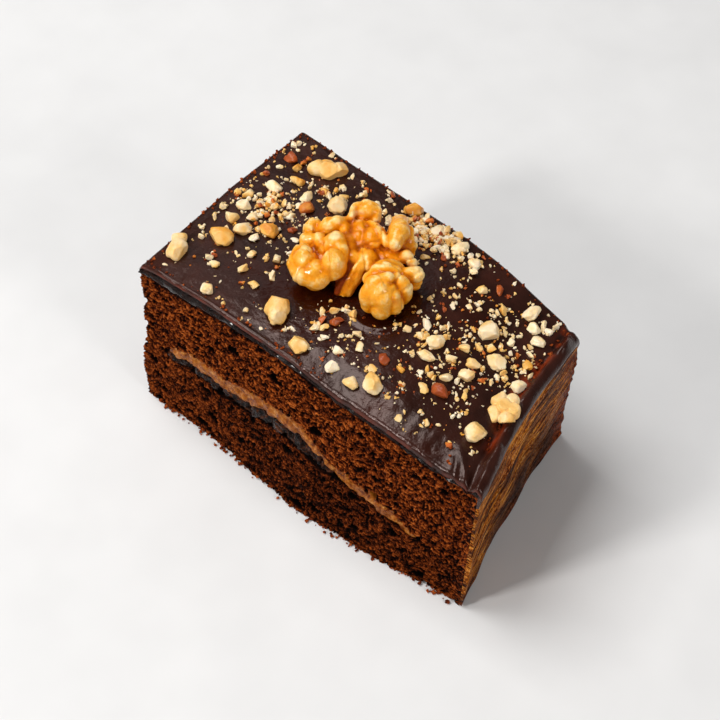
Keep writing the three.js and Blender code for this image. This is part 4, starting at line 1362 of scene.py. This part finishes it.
def bulge_of(mesh, spots, normals):
    """1 where the surface bulges out and 0 in its folds."""
    count = len(spots)
    edges = np.empty(len(mesh.edges) * 2, dtype=np.int64)
    mesh.edges.foreach_get("vertices", edges)
    edges = edges.reshape(-1, 2)
    valence = np.bincount(edges.ravel(), minlength=count).astype(float)
    softened = spots.copy()
    for _ in range(24):
        total = np.zeros_like(softened)
        for axis in range(3):
            total[:, axis] = (np.bincount(edges[:, 0], softened[edges[:, 1], axis], count)
                              + np.bincount(edges[:, 1], softened[edges[:, 0], axis], count))
        softened = total / valence[:, None]
    out = ((spots - softened) * normals).sum(1)
    return np.clip(0.42 + out / 0.85, 0, 1)


def within(spots, places, start, end):
    """1 in the middles of some places and 0 outside, fading between two shares of their reach."""
    nearest = np.zeros(len(spots))
    for across, away, up, reach in places:
        gap = np.linalg.norm(spots - np.array([across, away, up]), axis=1)
        nearest = np.maximum(nearest, 1 - smooth(start * reach, end * reach, gap))
    return nearest


# Crumbs

# Where crumbs lie on the glaze: how many, and between which shares along and across
CRUMB_ZONES = {
    "groove": (70, (0.95, 0.966), (0.2, 0.98)),
    "back_rim": (70, (0.02, 0.95), (0.97, 0.995)),
    "left_rim": (60, (0.004, 0.02), (0.03, 0.98)),
    "front_rim": (40, (0.02, 0.6), (0.006, 0.03)),
    "glaze": (90, (0.03, 0.93), (0.04, 0.96)),
}
FOOT_CRUMBS = 130
CRUMB_SEED = 900


def crumbs_piece(material):
    """Loose crumbs in the lip's groove, on the rims, over the glaze and round the foot."""
    draws = Draws(CRUMB_SEED)
    heap = Heap(broken=True)
    places = []
    for count, long_range, wide_range in CRUMB_ZONES.values():
        for _ in range(count):
            u = draws.between(*long_range)
            v = draws.between(*wide_range)
            x, y = plan(u, v, 1)
            places.append((x, y, draws.between(0.25, 0.9) ** 1.2))
    ground = surface_at([p[0] for p in places], [p[1] for p in places])
    for (x, y, size), height in zip(places, ground):
        lump_of_crumb(heap, draws, (x, y, height + 0.25 * size), size)
    for _ in range(FOOT_CRUMBS):
        u = draws.between(0.02, 0.97)
        size = draws.between(0.3, 1.1)
        x, y = plan(u, 0, 0)
        lump_of_crumb(heap, draws, (x, y - draws.between(-0.6, 1.1), 0.45 * size), size)
    piece = heap.make("cocoa_crumbs", material)
    return piece


def lump_of_crumb(heap, draws, place, size):
    heap.add_lump(place, (0.5 * size, 0.4 * size, 0.3 * size), draws.between(0, 3.14),
                  draws.between(-0.4, 0.4), 0.5, draws, 2, 2, 0.25, 0.5)


# Camera, floor and light

def set_camera():
    azimuth = math.radians(CAMERA_AZIMUTH)
    elevation = math.radians(CAMERA_ELEVATION)
    back = Vector((math.sin(azimuth) * math.cos(elevation), -math.cos(azimuth) * math.cos(elevation),
                   math.sin(elevation)))
    across = Vector((math.cos(azimuth), math.sin(azimuth), 0))
    up = back.cross(across)
    data = bpy.data.cameras.new("camera")
    data.sensor_width = 36.0
    data.lens = CAMERA_LENS
    data.clip_start = 0.01
    data.clip_end = 20.0
    camera = bpy.data.objects.new("camera", data)
    place = Vector(CAMERA_PLACE) * MM
    camera.matrix_world = Matrix((
        (across.x, up.x, back.x, place.x),
        (across.y, up.y, back.y, place.y),
        (across.z, up.z, back.z, place.z),
        (0, 0, 0, 1),
    ))
    bpy.context.scene.collection.objects.link(camera)
    bpy.context.scene.camera = camera


# Painted board: a plain, even, matt white.
def floor_material():
    material, tree, shader = new_material("painted_board", Roughness=0.8)
    place = millimetres(tree)
    paint_grain = add_node(tree, "ShaderNodeTexNoise", links={"Vector": place},
                           values={"Scale": 0.05, "Detail": 2.0})
    tone = add_node(tree, "ShaderNodeValToRGB", links={"Fac": paint_grain.outputs["Fac"]},
                    stops=[(0.3, "#e2e3e5"), (0.7, "#e7e8ea")])
    tree.links.new(tone.outputs["Color"], shader.inputs["Base Color"])
    return material


def set_floor():
    bm = bmesh.new()
    bmesh.ops.create_grid(bm, x_segments=1, y_segments=1, size=3.0)
    mesh = bpy.data.meshes.new("floor")
    bm.to_mesh(mesh)
    bm.free()
    mesh.materials.append(floor_material())
    floor = bpy.data.objects.new("floor", mesh)
    bpy.context.scene.collection.objects.link(floor)


def add_light(name, toward, distance, size, watts, colour):
    data = bpy.data.lights.new(name, "AREA")
    data.shape = "RECTANGLE"
    data.size = size[0]
    data.size_y = size[1]
    data.energy = watts
    data.color = colour
    light = bpy.data.objects.new(name, data)
    direction = Vector(toward).normalized()
    turn = direction.to_track_quat("Z", "Y").to_matrix().to_4x4()
    light.matrix_world = Matrix.Translation(direction * distance) @ turn
    bpy.context.scene.collection.objects.link(light)


def set_lights():
    world = bpy.data.worlds.new("pale_room")
    bpy.context.scene.world = world
    world.use_nodes = True
    backdrop = world.node_tree.nodes["Background"]
    backdrop.inputs["Color"].default_value = (1.0, 0.99, 0.98, 1)
    backdrop.inputs["Strength"].default_value = 0.14
    add_light("overhead_softbox", (-0.42, -0.08, 0.9), 0.9, (0.5, 0.5), 5.8, (1.0, 0.98, 0.95))
    add_light("left_panel", (-0.5, 0.46, 0.71), 0.66, (0.22, 0.22), 0.11, (0.95, 0.97, 1.0))
    add_light("front_key", (-0.35, -0.8, 0.6), 1.0, (0.16, 0.16), 4.4, (1.0, 0.97, 0.93))
    add_light("end_fill", (0.9, -0.1, 0.45), 1.0, (0.3, 0.3), 3.0, (1.0, 0.97, 0.93))
    bpy.context.scene.view_settings.view_transform = "Standard"
    bpy.context.scene.view_settings.look = "None"


set_camera()
set_floor()
set_lights()

# Sponge colours: painted highlight on the crumb's walls, its own body tone, painted shade, deep painted shade
# in pores
upper_crumb = sponge_material("cocoa_sponge_upper", "#c86a2a", "#7c340e", "#321004", "#070100")
lower_crumb = sponge_material("cocoa_sponge_lower", "#ae5620", "#662a0b", "#280c03", "#050100")
# The lower layer gets painted shade in the middle of its cut and painted light at its left end
sponge_piece("crumb_lower", "sponge_lower", lambda u, v: 0 * u, lower_sponge_top, 80, lower_crumb,
             0, EDGE_LOW, painted_shade_low)
sponge_piece("crumb_upper", "sponge_upper", upper_sponge_floor, glaze_underside, 104, upper_crumb,
             EDGE_HIGH, 0)
filling_piece("chocolate_cream_band", "filling_dark", "filling_dark", DARK_SPAN,
              lambda u, v: lower_sponge_top(u, v) + GAP, filling_line, chocolate_cream_material(),
              (EDGE_LOW, EDGE_MIDDLE), 0.3, 0.6, 0.9, 0.2)
filling_piece("caramel_band", "filling_caramel", "filling_caramel", CARAMEL_SPAN,
              lambda u, v: filling_line(u, v) + GAP, lambda u, v: upper_sponge_floor(u, v) - GAP,
              caramel_material(), (EDGE_MIDDLE, EDGE_HIGH), 0.05, 0.4, 0.3, 0.75)
glaze_piece(ganache_material())
nut_skin = nut_material()
covered = nut_pieces(nut_skin)
bits = Heap(broken=True)
scatter_small(bits, covered, 560, (0.9, 2.8), 300, 2, 4, -0.2, 3)
heaped_bits(bits, (0.0, 20.4), (14.0, 3.8), 170, (0.7, 2.4), 600)
heaped_bits(bits, (-33.0, 3.5), (7.0, 6.0), 60, (0.8, 2.2), 610)
bits.make("nut_bits", nut_skin)
dust = Heap(broken=True)
scatter_small(dust, walnut_cover(), 1300, (0.3, 1.0), 400, 1, 2, -1.2, 2)
dust.make("nut_dust", nut_skin)
for order, large in enumerate(LARGE_NUTS):
    large_nut(*large, nut_skin, LARGE_NUT_SEED + order)
crumbs_piece(loose_crumb_material())
walnut_piece(honey_walnut_material())
